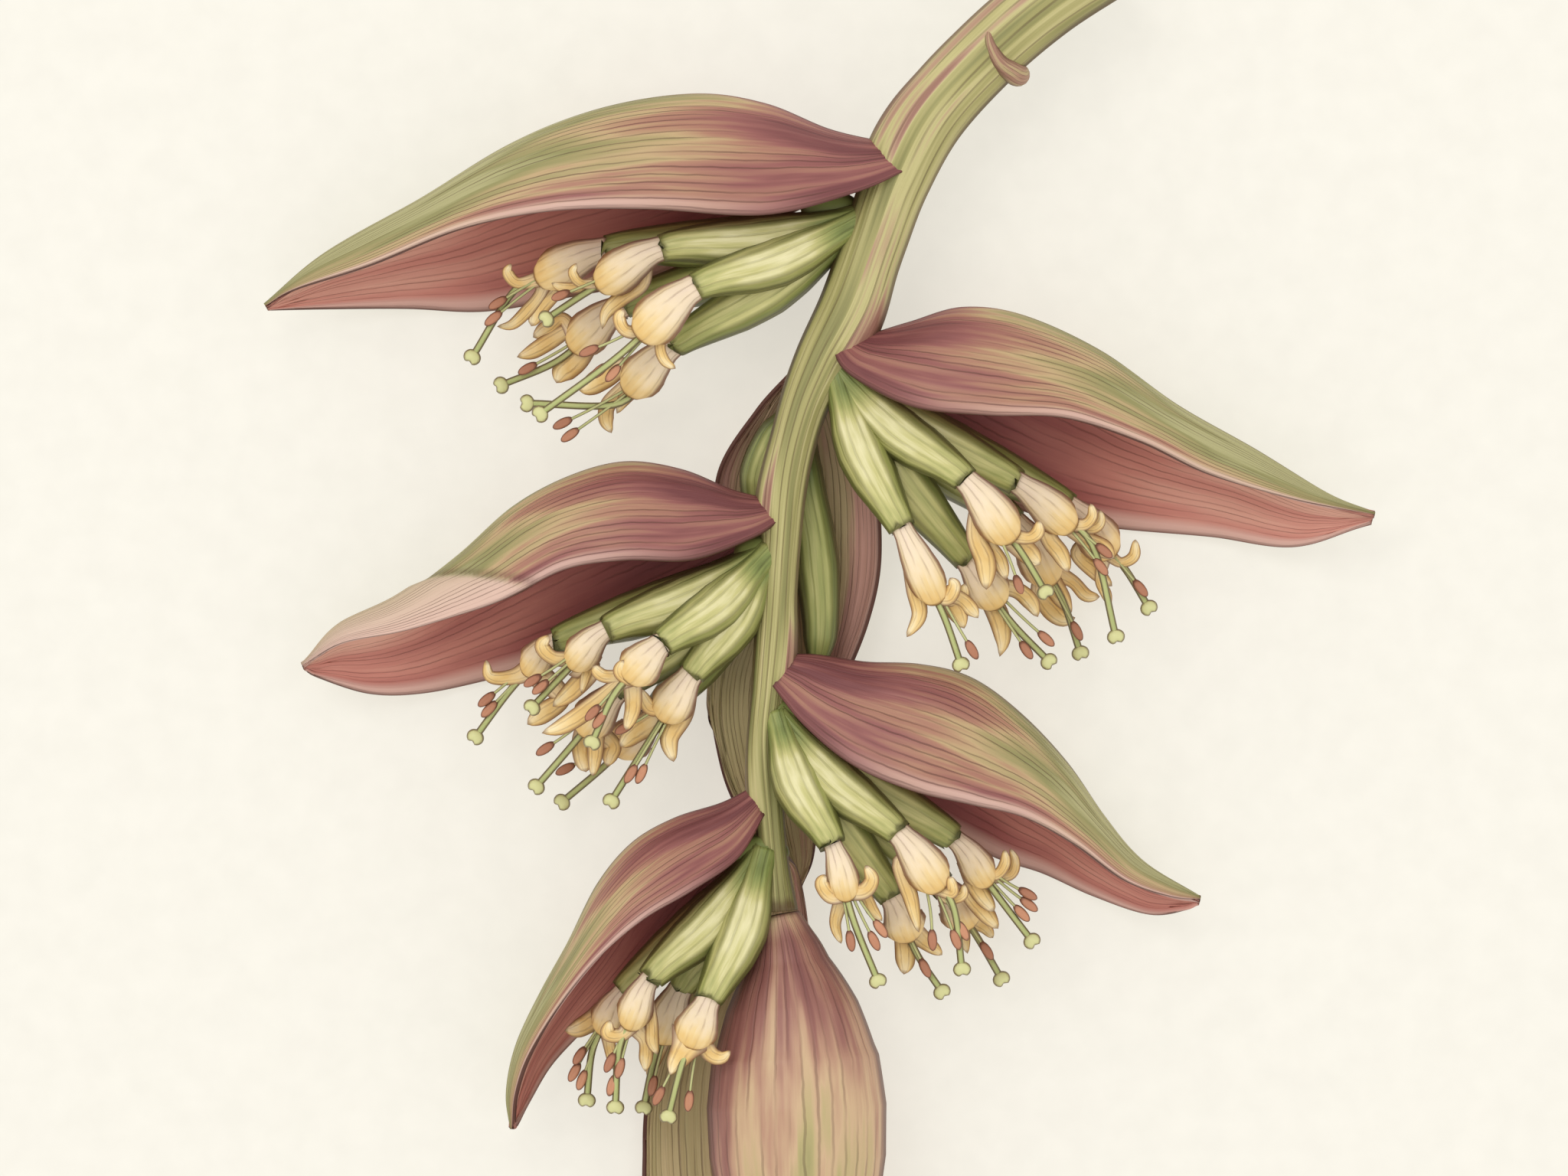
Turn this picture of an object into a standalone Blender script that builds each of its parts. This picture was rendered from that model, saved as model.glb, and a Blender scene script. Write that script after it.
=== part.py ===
"""A cut banana blossom lying on a surface: a tapering stalk with boat-shaped bracts, hands of young
green fingers that end in yellow flowers, and the closed bud at its end.

Lengths are in millimetres until the meshes are made.  Seen from above, X runs to the right and Y up
the stalk, towards its cut end; Z is the height above the surface.
"""

import math

import bmesh
import bpy
from mathutils import Matrix, Vector

MM = 0.001
GAP = 0.3

# The plan is drawn round a point inside the blossom; this moves it to the middle of the blossom's box.
CENTRE = Vector((-11.65, 24.9, 0.0))

UP = Vector((0, 0, 1))
ACROSS = Vector((1, 0, 0))

# The stalk's centreline from the cut end to the bud, and its radius in the fourth place.
STALK = [
    (106.5, 205.0, 35.0, 12.2),
    (85.5, 191.3, 34.5, 12.2),
    (66.5, 175.0, 34.0, 12.0),
    (47.8, 154.5, 34.0, 12.0),
    (36.8, 133.0, 34.0, 11.2),
    (29.5, 113.0, 34.0, 10.7),
    (22.0, 92.5, 34.0, 10.6),
    (12.5, 74.0, 34.0, 9.4),
    (5.5, 57.0, 34.0, 8.0),
    (0.8, 37.0, 34.0, 7.4),
    (-1.5, 12.0, 34.0, 6.8),
    (-3.0, -12.0, 34.0, 6.6),
    (-4.8, -32.0, 34.0, 6.0),
    (-6.3, -50.0, 34.0, 5.6),
    (-4.8, -73.0, 34.0, 4.9),
    (-3.3, -90.0, 34.0, 5.0),
    (-2.2, -105.6, 34.0, 6.8),
]
STALK_RINGS = 18
STALK_SIDES = 2

# The scar of a fallen bract is a lip round the stalk's lower right, thickest where it stands out.
SCAR = [
    (66.6, 184.2, 42.6, 0.5),
    (67.0, 178.0, 44.6, 1.3),
    (69.8, 172.0, 43.6, 2.0),
    (74.0, 168.6, 39.5, 2.6),
    (76.6, 167.6, 34.0, 2.6),
    (76.4, 170.0, 28.0, 1.4),
]

# Each bract is drawn by three lines from its foot to its tip: its ridge, and its near and far edge.
BRACT_LENGTHWISE = 8
BRACT_SIDEWAYS = 6
BRACT_THICKNESS = 1.8
BRACTS = {
    "bract_left_1": {
        "across": UP,
        "ridge": [
            (33.0, 145.5, 34.0),
            (15.0, 149.8, 35.0),
            (-6.0, 158.3, 35.0),
            (-29.5, 161.5, 34.0),
            (-59.8, 156.8, 33.0),
            (-90.3, 144.8, 31.0),
            (-120.5, 126.5, 29.0),
            (-150.8, 109.3, 27.0),
            (-170.2, 93.0, 26.0),
        ],
        "near": [
            (42.0, 137.0, 44.0),
            (23.5, 128.5, 51.0),
            (-6.0, 121.0, 58.0),
            (-43.5, 122.8, 59.0),
            (-75.0, 122.3, 55.0),
            (-105.3, 116.8, 47.0),
            (-135.5, 105.3, 38.0),
            (-159.8, 97.8, 30.0),
            (-169.7, 92.3, 27.6),
        ],
        "far": [
            (33.0, 137.0, 24.0),
            (14.0, 128.5, 14.0),
            (-12.0, 116.0, 5.0),
            (-43.5, 102.0, 1.0),
            (-75.0, 95.0, 0.0),
            (-99.3, 91.0, 1.0),
            (-123.5, 91.8, 5.0),
            (-147.8, 91.5, 13.0),
            (-169.0, 90.8, 24.4),
        ],
    },
    "bract_right_1": {
        "across": UP,
        "ridge": [
            (28.5, 83.0, 34.0),
            (41.3, 87.0, 34.0),
            (58.5, 91.8, 34.0),
            (78.5, 89.0, 34.0),
            (103.5, 77.8, 33.0),
            (128.3, 59.8, 31.0),
            (153.3, 46.0, 29.0),
            (178.0, 31.0, 27.0),
            (193.5, 24.8, 26.0),
        ],
        "near": [
            (15.5, 78.0, 42.0),
            (21.5, 69.5, 48.0),
            (41.3, 59.0, 58.0),
            (66.0, 56.0, 61.0),
            (91.0, 55.3, 57.0),
            (115.8, 47.8, 49.0),
            (138.3, 37.3, 41.0),
            (165.5, 29.3, 33.0),
            (193.2, 24.0, 27.6),
        ],
        "far": [
            (20.0, 76.0, 24.0),
            (31.5, 56.0, 15.0),
            (48.0, 42.0, 7.0),
            (70.0, 29.0, 2.0),
            (90.0, 22.0, 0.4),
            (112.0, 19.3, 0.3),
            (140.8, 16.8, 4.0),
            (168.3, 13.5, 13.0),
            (192.5, 21.5, 24.4),
        ],
    },
    "bract_left_2": {
        "across": UP,
        "ridge": [
            (-6.5, 29.5, 34.0),
            (-17.3, 32.3, 35.0),
            (-33.3, 38.8, 35.0),
            (-51.8, 41.5, 34.0),
            (-70.0, 37.0, 33.0),
            (-88.5, 26.8, 31.0),
            (-106.8, 10.8, 29.0),
            (-126.3, -3.8, 27.0),
            (-146.0, -13.5, 26.0),
            (-158.0, -24.6, 26.0),
        ],
        "near": [
            (-1.0, 22.5, 40.0),
            (-10.3, 16.5, 46.0),
            (-29.8, 9.3, 54.0),
            (-51.8, 9.0, 57.0),
            (-71.0, 6.0, 54.0),
            (-90.8, -3.8, 48.0),
            (-107.8, -9.5, 41.0),
            (-125.0, -14.3, 35.0),
            (-144.5, -18.0, 30.0),
            (-157.7, -25.4, 27.6),
        ],
        "far": [
            (-5.0, 23.0, 27.0),
            (-14.0, 12.0, 19.0),
            (-29.0, 0.0, 9.0),
            (-50.0, -13.0, 3.0),
            (-75.0, -24.3, 1.0),
            (-98.0, -30.5, 1.2),
            (-119.3, -34.8, 5.0),
            (-136.5, -34.8, 11.0),
            (-152.8, -29.5, 20.0),
            (-157.4, -26.6, 24.4),
        ],
    },
    "bract_right_2": {
        "across": UP,
        "ridge": [
            (2.5, -21.5, 34.0),
            (11.5, -21.8, 34.0),
            (26.3, -24.0, 35.0),
            (44.3, -24.8, 35.0),
            (61.0, -29.5, 34.0),
            (77.8, -41.5, 33.0),
            (92.5, -56.8, 31.0),
            (105.3, -75.0, 29.0),
            (117.8, -89.3, 28.0),
            (136.4, -100.9, 27.0),
        ],
        "near": [
            (-4.5, -31.0, 39.5),
            (6.3, -44.5, 47.0),
            (22.0, -57.3, 54.0),
            (41.0, -65.5, 58.0),
            (61.0, -70.3, 56.0),
            (78.0, -74.5, 50.0),
            (94.8, -83.5, 43.0),
            (111.5, -95.5, 35.0),
            (126.3, -100.8, 30.0),
            (136.2, -101.8, 28.4),
        ],
        "far": [
            (-1.0, -29.0, 28.0),
            (11.0, -42.0, 20.0),
            (24.0, -58.0, 11.0),
            (44.0, -75.5, 4.0),
            (68.5, -88.3, 1.2),
            (85.3, -94.0, 1.2),
            (102.0, -101.5, 6.0),
            (120.0, -107.3, 14.0),
            (132.0, -105.5, 22.0),
            (136.0, -103.0, 25.6),
        ],
    },
    "bract_left_3": {
        "across": UP,
        "ridge": [
            (-9.5, -64.5, 34.0),
            (-20.3, -70.0, 35.0),
            (-35.8, -75.0, 36.0),
            (-49.5, -83.0, 36.0),
            (-60.8, -96.3, 36.0),
            (-70.3, -114.8, 34.0),
            (-79.8, -132.0, 32.0),
            (-87.5, -149.3, 30.0),
            (-90.8, -165.0, 28.0),
            (-89.6, -177.0, 27.0),
        ],
        "near": [
            (-6.0, -73.5, 38.5),
            (-15.0, -88.0, 48.0),
            (-29.8, -98.3, 57.0),
            (-46.0, -107.8, 61.0),
            (-60.8, -120.8, 58.0),
            (-72.8, -135.5, 50.0),
            (-83.0, -151.8, 41.0),
            (-87.8, -165.0, 33.0),
            (-89.0, -176.7, 28.6),
        ],
        "far": [
            (-7.5, -71.0, 29.5),
            (-13.0, -85.0, 22.0),
            (-25.0, -103.0, 13.0),
            (-41.0, -121.5, 6.0),
            (-56.0, -136.5, 3.0),
            (-68.3, -148.3, 3.0),
            (-77.3, -158.0, 8.0),
            (-83.5, -168.0, 16.0),
            (-88.2, -176.4, 25.4),
        ],
    },
    "bract_back_1": {
        "across": ACROSS,
        "ridge": [
            (6.5, 72.0, 29.0),
            (5.8, 60.0, 16.0),
            (5.3, 42.0, 6.0),
            (5.3, 12.0, 2.0),
            (6.5, -18.0, 3.5),
            (8.5, -38.0, 8.0),
            (9.0, -49.3, 12.0),
        ],
        "near": [
            (10.0, 72.0, 31.0),
            (20.0, 58.0, 23.0),
            (29.0, 36.0, 17.0),
            (31.0, 10.0, 14.0),
            (27.0, -12.0, 13.0),
            (18.0, -34.0, 13.0),
            (10.6, -49.3, 12.6),
        ],
        "far": [
            (3.0, 72.0, 31.0),
            (-9.5, 58.0, 22.0),
            (-22.0, 37.0, 16.0),
            (-22.0, 10.0, 13.0),
            (-17.0, -10.0, 12.0),
            (-4.0, -33.0, 12.0),
            (7.4, -49.3, 12.6),
        ],
    },
    "bract_back_2": {
        "across": ACROSS,
        "ridge": [
            (-4.0, -4.0, 30.0),
            (-5.5, -20.0, 17.0),
            (-7.3, -38.0, 13.0),
            (-6.0, -55.0, 11.0),
            (-3.0, -72.0, 8.0),
            (1.0, -88.0, 7.0),
            (4.5, -98.0, 8.0),
        ],
        "near": [
            (-2.0, -4.0, 31.0),
            (0.5, -20.0, 19.0),
            (3.0, -38.0, 15.0),
            (6.5, -55.0, 13.5),
            (9.5, -72.0, 11.0),
            (9.5, -88.0, 9.0),
            (6.0, -98.0, 8.6),
        ],
        "far": [
            (-6.5, -4.0, 31.0),
            (-20.5, -20.0, 14.0),
            (-24.0, -37.0, 12.5),
            (-22.3, -53.0, 13.0),
            (-17.3, -69.3, 12.5),
            (-6.0, -88.0, 11.0),
            (3.0, -98.0, 8.6),
        ],
    },
    "bract_back_3": {
        "across": ACROSS,
        "ridge": [
            (-1.8, -86.0, 31.0),
            (0.0, -96.0, 12.0),
            (-12.0, -126.0, 1.0),
            (-20.0, -158.0, 0.2),
            (-20.0, -188.0, 0.6),
            (-16.0, -218.0, 4.0),
            (-9.8, -241.0, 11.0),
        ],
        "near": [
            (0.6, -86.0, 33.5),
            (5.0, -96.0, 13.5),
            (9.0, -126.0, 2.0),
            (12.0, -158.0, 0.8),
            (12.0, -188.0, 1.4),
            (5.0, -218.0, 5.0),
            (-8.2, -241.0, 11.6),
        ],
        "far": [
            (-4.2, -86.0, 33.0),
            (-5.0, -96.0, 13.0),
            (-30.0, -128.0, 7.0),
            (-43.5, -157.0, 6.5),
            (-47.0, -184.0, 7.0),
            (-42.0, -212.0, 11.0),
            (-11.4, -241.0, 11.6),
        ],
    },
}

# The bud's axis from the stalk to its tip; its radius is given at shares of that length.
BUD_AXIS = [
    (-1.8, -106.6, 33.8),
    (1.0, -122.0, 33.8),
    (3.5, -150.0, 33.8),
    (4.6, -190.0, 33.6),
    (5.5, -230.0, 32.0),
    (7.5, -265.0, 30.0),
]
BUD_RADII = [
    (0.0, 6.9),
    (0.05, 9.8),
    (0.11, 14.6),
    (0.2, 21.6),
    (0.3, 27.3),
    (0.4, 29.3),
    (0.5, 28.8),
    (0.62, 25.6),
    (0.75, 19.4),
    (0.87, 11.2),
    (0.96, 4.2),
    (1.0, 1.2),
]
BUD_SIDES = 18
BUD_RINGS = 12
BUD_STEP = 1.3

# A finger's radius at shares of its length.
FINGER_RADII = [(0.0, 3.2), (0.2, 4.6), (0.4, 7.6), (0.6, 8.1), (0.8, 6.6), (1.0, 4.6)]
FINGER_RINGS = 5
CUSHION_SIZE = (7, 7, 9)

# A flower's hood: its radius from the finger's end to the mouth, how flat it is, how far its back and
# its front lip stand out past the mouth, and which hoods are wider or narrower.
HOOD_RADII = [(0.0, 4.1), (0.33, 6.0), (0.67, 7.2), (1.0, 5.4)]
HOOD_RINGS = 3
HOOD_SIDES = 8
HOOD_FLAT = 0.78
HOOD_LIP = (-6.0, 2.5)
HOOD_WIDTHS = {
    "left_1_a": 1.12, "right_1_a": 0.84, "right_1_c": 0.92, "left_2_b": 0.86, "left_2_c": 0.8,
    "right_2_a": 0.74, "right_2_c": 0.8, "left_3_b": 0.82, "left_3_c": 0.8,
}

# The lobes round each flower's mouth: how high each starts and ends above the mouth, and the places it
# passes seen from above, with its width there.
LOBES = {
    "left_1_a": [
        (0.5, 3.5, [(-46.7, 80.8, 3.6), (-51.4, 83.6, 4.2), (-53.5, 87.7, 4.3), (-51.9, 90.5, 2.9)]),
        (-0.5, -2, [(-36.7, 84.8, 3.8), (-40.3, 78.8, 3.8), (-38.8, 73.9, 3.6), (-35.2, 71.3, 2.7)]),
    ],
    "left_1_b": [
        (0.5, 3.5, [(-60.8, 98.2, 2.7), (-65.8, 99.1, 3.2), (-68.8, 102.5, 3.3), (-67.5, 105.7, 2.4)]),
        (-0.5, -2, [
            (-40.3, 105.2, 4.3), (-46.7, 99.1, 5.6), (-53.3, 94.4, 5.6), (-58, 89.7, 4.3), (-59.3, 84.3, 1.9),
        ]),
        (-2.2, -4.5, [(-67.8, 98, 3.6), (-72.8, 98.2, 3.3), (-75.9, 99.5, 2.3)]),
    ],
    "left_1_c": [
        (0.5, 3.5, [(-80.9, 99.5, 4.2), (-86.8, 99.7, 4), (-90.4, 103.2, 3.9), (-89.2, 106.1, 2.3)]),
        (-3, -5.5, [(-80.2, 95.8, 4), (-84.5, 90.5, 4.4), (-89.2, 86.3, 3.6), (-94.1, 85.7, 1.9)]),
        (-3, -5.5, [(-74.8, 97.2, 4.7), (-79.9, 91.8, 5.8), (-82.9, 85.8, 4.7)]),
    ],
    "left_1_d": [
        (-3, -5.5, [(-52.1, 72.4, 6.4), (-58.8, 69, 7.8), (-64.1, 65.8, 6.7), (-67.3, 64.9, 3.8)]),
        (-3, -5.5, [(-53.3, 67, 4.7), (-57.3, 60.3, 5.4), (-58.2, 55, 5.1), (-56.4, 50.7, 2.9)]),
        (-0.5, -2, [(-40, 72.1, 3.8), (-46, 67.2, 5.2), (-51.4, 62.9, 5), (-54.7, 57, 2.4)]),
    ],
    "left_1_e": [
        (-0.5, -2, [(-62.8, 79.1, 6), (-68.1, 75.1, 8.3), (-72.7, 70.9, 7.8), (-74.8, 67.3, 4.3)]),
        (-3, -5.5, [(-70.8, 84.5, 5.1), (-77.2, 81, 5.8), (-82.9, 77.6, 5.1), (-87.8, 75.9, 2.7)]),
        (-0.5, -2, [(-60.1, 87.1, 4.3), (-66.1, 84, 5.9), (-71.8, 80.4, 4)]),
        (-3, -5.5, [(-72.8, 88.5, 4.3), (-78.2, 85.1, 5.8), (-82.5, 82.4, 4)]),
    ],
    "right_1_a": [
        (-0.5, -2, [(38.1, 11.1, 4.6), (42.5, -0.3, 5.8), (44, -8.8, 5.1), (39.9, -16, 3.1)]),
        (0.5, 3.5, [(48.8, -3.6, 4.3), (53.2, -3.2, 5.1), (55.2, 0.6, 4.7), (53.8, 3.3, 2.6)]),
        (-3, -5.5, [(53.8, -4.5, 3.4), (58.1, -2.3, 4.3), (58.7, 1.5, 3.1)]),
        (-3, -5.5, [(53, -3.4, 5.8), (56.6, -8.4, 6.4), (58.7, -13.2, 3.1)]),
        (-3, -5.5, [(57.2, -3.4, 4.9), (61.2, -7.2, 4.9), (63.2, -9.8, 2.3)]),
    ],
    "right_1_b": [
        (0.5, 3.5, [(74, 16.3, 4.1), (79, 16.2, 4.1), (82.3, 18, 4.6), (82.8, 22, 3.1)]),
        (-0.5, -2, [(58.6, 27.2, 3.4), (62.2, 17.3, 6), (65.5, 8.5, 7), (65.8, -0.6, 5.1)]),
        (-3, -5.5, [(66.8, 15, 4.3), (70.2, 8.8, 5.1), (72.4, 2.9, 3.4)]),
        (-3, -5.5, [(75.6, 15, 5.8), (79.8, 11, 7.3), (83.4, 7.6, 4.7)]),
    ],
    "right_1_c": [
        (0.5, 3.5, [(92.8, 20.2, 3.7), (97.8, 20.6, 4), (100.5, 23.5, 3.5), (99.9, 27.5, 2.8)]),
        (-0.5, -2, [(95.5, 18.9, 3.4), (100.8, 19.6, 4), (103.4, 22, 3.5), (103.1, 25.5, 2.4)]),
        (-0.5, -2, [(82.5, 23, 4.9), (86.4, 16.5, 6), (90.3, 11, 5.8), (92.9, 5.2, 4)]),
        (-3, -5.5, [(93.2, 18.4, 4.1), (99.3, 15.6, 5.8), (104.7, 12.5, 6.4), (108, 9.6, 3.4)]),
    ],
    "right_1_d": [
        (-0.5, -2, [
            (61.4, 6.5, 4.3), (66, -1.1, 6.6), (70.2, -9.5, 7.3), (71.6, -17.2, 5.2), (70.5, -22.5, 2.1),
        ]),
        (-3, -5.5, [(69.5, 2.3, 4.3), (75.6, -0.5, 5.5), (80.5, -4.3, 5.7), (83.1, -9.5, 3.4)]),
    ],
    "right_1_e": [
        (-0.5, -2, [(82.5, 9.6, 6.4), (87.8, 2, 7.3), (91.8, -4.2, 5.8), (94.6, -8, 2.6)]),
        (-3, -5.5, [(83.6, -1.1, 5.1), (87.8, -7.2, 6.6), (92, -10.4, 5.1), (95.8, -9.7, 3.1)]),
        (-3, -5.5, [(89.3, 8.1, 4.9), (94.7, 2.3, 4.6), (99.3, -2.3, 4.6), (103.9, -2.9, 3.5)]),
    ],
    "right_1_f": [
        (0.5, 3.5, [(104.7, 9, 3.4), (110, 8.4, 3.5), (114.4, 10.4, 4), (114.9, 15.9, 2.8)]),
        (-3, -5.5, [(96.2, 11.1, 4.9), (102.4, 5, 5.2), (107.6, 0.6, 3.4)]),
        (-3, -5.5, [(103.5, 2.7, 3.4), (105.6, -1.9, 3.7), (107, -6.5, 2)]),
    ],
    "left_2_a": [
        (-2.2, -3.6, [(-52.8, -29, 3.4), (-58.5, -28.6, 4.4), (-62.2, -25.4, 4.4)]),
        (0.5, 3.5, [(-43, -29.7, 3.4), (-49.3, -30, 4.1), (-53.1, -27.2, 4.8), (-52.1, -23.3, 3.2)]),
        (-3, -5.5, [(-55.6, -32.4, 4.6), (-64.2, -39.8, 6.2), (-72.3, -45.1, 5.5), (-78.8, -47.2, 3)]),
        (-4.2, -6.5, [(-49.5, -31.2, 4.6), (-49.1, -38.7, 5.5), (-51.4, -46.3, 3.7)]),
    ],
    "left_2_b": [
        (0.5, 3.5, [(-68.3, -22.6, 4.1), (-75.1, -22.8, 4.8), (-78.8, -18.9, 5.1), (-76.4, -15.5, 3.2)]),
        (-0.5, -2, [(-57.9, -17.8, 4.1), (-63.7, -25.1, 4.4), (-66.1, -34.3, 2.1)]),
        (-3, -5.5, [(-63.7, -27.2, 7.6), (-69.8, -34.1, 6.2), (-75.5, -38.7, 3.7)]),
    ],
    "left_2_c": [
        (0.5, 3.5, [(-80.3, -26.7, 6.2), (-88.3, -29, 5.5), (-96, -29, 4.1), (-97.4, -23.5, 3)]),
        (-3, -5.5, [(-72.9, -35.8, 6.2), (-79.2, -41.2, 6.9), (-84.2, -44.7, 4.6)]),
    ],
    "left_2_d": [
        (0.5, 3.5, [(-36.5, -32.4, 3.4), (-37.8, -38.1, 5.3), (-43.6, -38.9, 5.3), (-47, -32.9, 3.4)]),
        (-0.5, -2, [(-31, -30.7, 6.9), (-33.5, -41, 8), (-37.4, -49, 6.4), (-36, -56.8, 4.1)]),
        (-3, -5.5, [(-41.3, -41.6, 7.3), (-48.2, -47, 7.3), (-53.5, -51.9, 4.8)]),
    ],
    "left_2_e": [
        (-2.4, -4.6, [(-62.5, -43.3, 7.1), (-66, -51.3, 7.3), (-64.8, -60.3, 6)]),
        (1, -1.2, [(-59.9, -45, 4.6), (-61.7, -53.6, 5.3), (-62.5, -61.6, 3)]),
        (-3, -5.5, [(-56.2, -51.3, 5.7), (-56.9, -54.8, 5.5), (-58, -58.4, 3.7)]),
    ],
    "left_2_f": [
        (-3, -5.5, [(-47.6, -45.6, 7.3), (-54.8, -51.5, 7.3), (-59.4, -57.1, 4.8)]),
    ],
    "right_2_a": [
        (0.5, 3.5, [(20.6, -101.2, 3.8), (15.3, -100.1, 5.1), (12.3, -96.1, 4.8), (13.3, -93, 2.9)]),
        (0.5, 3.5, [(20.9, -99.7, 3.8), (25.9, -98.4, 5.5), (28.5, -94.6, 4.8), (26.4, -90, 2.9)]),
        (-3, -5.5, [(17.7, -101.9, 4), (16.7, -108.8, 4), (18.6, -115.7, 2.3)]),
        (-3, -5.5, [(26.4, -100.3, 4), (28.7, -104.8, 4.2), (32, -108.3, 2.3)]),
    ],
    "right_2_b": [
        (0.5, 3.5, [(50.6, -100.3, 4.4), (54.6, -98.8, 4.4), (53.9, -93.6, 3.2)]),
        (-0.5, -2, [(53.2, -101.2, 3.6), (57.9, -99.9, 3.8), (58.6, -96.3, 2.5)]),
        (-0.5, -2, [(37.9, -90.3, 5.7), (41.1, -100.3, 5.3), (43.9, -112.1, 2.5)]),
    ],
    "right_2_c": [
        (0.5, 3.5, [(63.7, -93.5, 4), (69.5, -93.6, 3.8), (72.2, -89.8, 3.8), (72, -85.4, 2.5)]),
        (-0.5, -2, [(67.9, -94.9, 3.4), (73.9, -93.6, 4), (75.5, -89.3, 3.4), (73.9, -85.2, 2.1)]),
        (-0.5, -2, [(57.4, -90.3, 4.6), (63.2, -98.2, 6.3), (68.7, -105.8, 4.4)]),
        (-3, -5.5, [(60.6, -99.8, 5.7), (65.3, -105.6, 6.3), (70.1, -111.5, 3.8)]),
    ],
    "right_2_d": [
        (-0.5, -2, [(34.6, -102.4, 4.6), (38.5, -111.9, 5.7), (39.7, -121.4, 6.7), (39.2, -126.4, 4.6)]),
        (-3, -5.5, [(43.7, -110.3, 5.7), (47.4, -116.6, 5.3), (51.8, -120.1, 2.9)]),
    ],
    "right_2_e": [
        (-3, -5.5, [(54.2, -103.5, 6.7), (58.4, -111.9, 5.7), (60.4, -120.3, 2.1)]),
        (-3, -5.5, [(61.6, -106.1, 5.7), (65.9, -111.5, 4.6), (68.8, -115.1, 2.9)]),
    ],
    "left_3_a": [
        (3, 2, [(-29.5, -143.2, 10.7), (-32.1, -149.2, 9.6), (-35.2, -154.3, 6.2), (-36.9, -158, 1.9)]),
        (-0.5, -2, [
            (-26.1, -145.7, 4.6), (-23.7, -151.3, 5.5), (-20.1, -152.3, 4.5), (-17.3, -150.2, 2.4),
        ]),
    ],
    "left_3_b": [
        (0.5, 3.5, [(-48.2, -143.3, 4.6), (-53, -145.3, 4.6), (-57.1, -144.7, 5.2), (-56.6, -140.4, 3.1)]),
        (-0.5, -2, [
            (-41.1, -131.1, 2.8), (-43.1, -140.6, 4.1), (-42.8, -147.5, 4.5), (-41.1, -151.9, 2.6),
        ]),
        (-3, -5.5, [(-45.2, -147.5, 4.6), (-45, -153.5, 4.6), (-45.2, -157.6, 2.2)]),
    ],
    "left_3_c": [
        (-0.5, -2, [(-56.8, -137.6, 8.1), (-62.4, -141.4, 7.4), (-67.6, -144.2, 6), (-71.7, -144.7, 3.4)]),
        (-3, -5.5, [(-56.2, -145.7, 3.8), (-56.8, -151.8, 3.8), (-55.9, -157.6, 2.2)]),
    ],
    "left_3_d": [
        (-3, -5.5, [(-40.5, -150.9, 4.6), (-43.1, -156.9, 4.1), (-44.5, -161.4, 2.4)]),
    ],
}
LOBE_RINGS = 4
LOBE_THICKNESS = 2.2

# Where the anthers of a flower hang, seen from above.
ANTHERS = {
    "left_1_a": [(-63.2, 77.0), (-60.0, 70.5), (-55.5, 69.8)],
    "left_1_b": [(-72.5, 95.2)],
    "left_1_c": [(-93.5, 93.2), (-95.0, 88.2)],
    "left_1_d": [(-72.2, 53.8), (-69.8, 50.0)],
    "left_1_e": [(-84.0, 72.0)],
    "right_1_a": [(61.0, -20.0)],
    "right_1_b": [(76.0, 1.2)],
    "right_1_c": [(104.2, 12.2), (103.2, 7.0)],
    "right_1_d": [(79.0, -20.2), (85.5, -16.5)],
    "right_1_e": [(96.0, -14.0)],
    "right_1_f": [(116.5, 0.0)],
    "left_2_a": [(-62.0, -40.4), (-59.8, -42.6)],
    "left_2_b": [(-81.7, -30.1), (-79.2, -32.2)],
    "left_2_c": [(-97.2, -36.4), (-96.4, -39.6)],
    "left_2_d": [(-52.0, -45.6), (-49.9, -60.5), (-46.5, -60.5)],
    "left_2_e": [(-78.0, -52.5)],
    "left_2_f": [(-71.7, -59.4)],
    "right_2_a": [(21.6, -114.5), (29.2, -114.5), (31.3, -110.6)],
    "right_2_b": [(48.2, -114.3), (55.8, -114.2), (58.1, -111.4)],
    "right_2_c": [(79.5, -99.8), (79.9, -103.3), (77.6, -106.2)],
    "right_2_d": [(46.0, -124.0)],
    "right_2_e": [(66.5, -119.0)],
    "left_3_a": [(-40.6, -164.5), (-30.8, -166.2)],
    "left_3_b": [(-56.6, -154.2), (-53.4, -156.0), (-56.0, -161.8)],
    "left_3_c": [(-66.7, -152.6), (-68.4, -158.0), (-66.0, -160.6)],
    "left_3_d": [(-43.0, -163.0)],
}

STYLE_RADIUS = 1.2
KNOB_RADIUS = 2.8
FILAMENT_RADIUS = 0.65
ANTHER_SIZE = (1.7, 1.7, 3.6)

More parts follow.
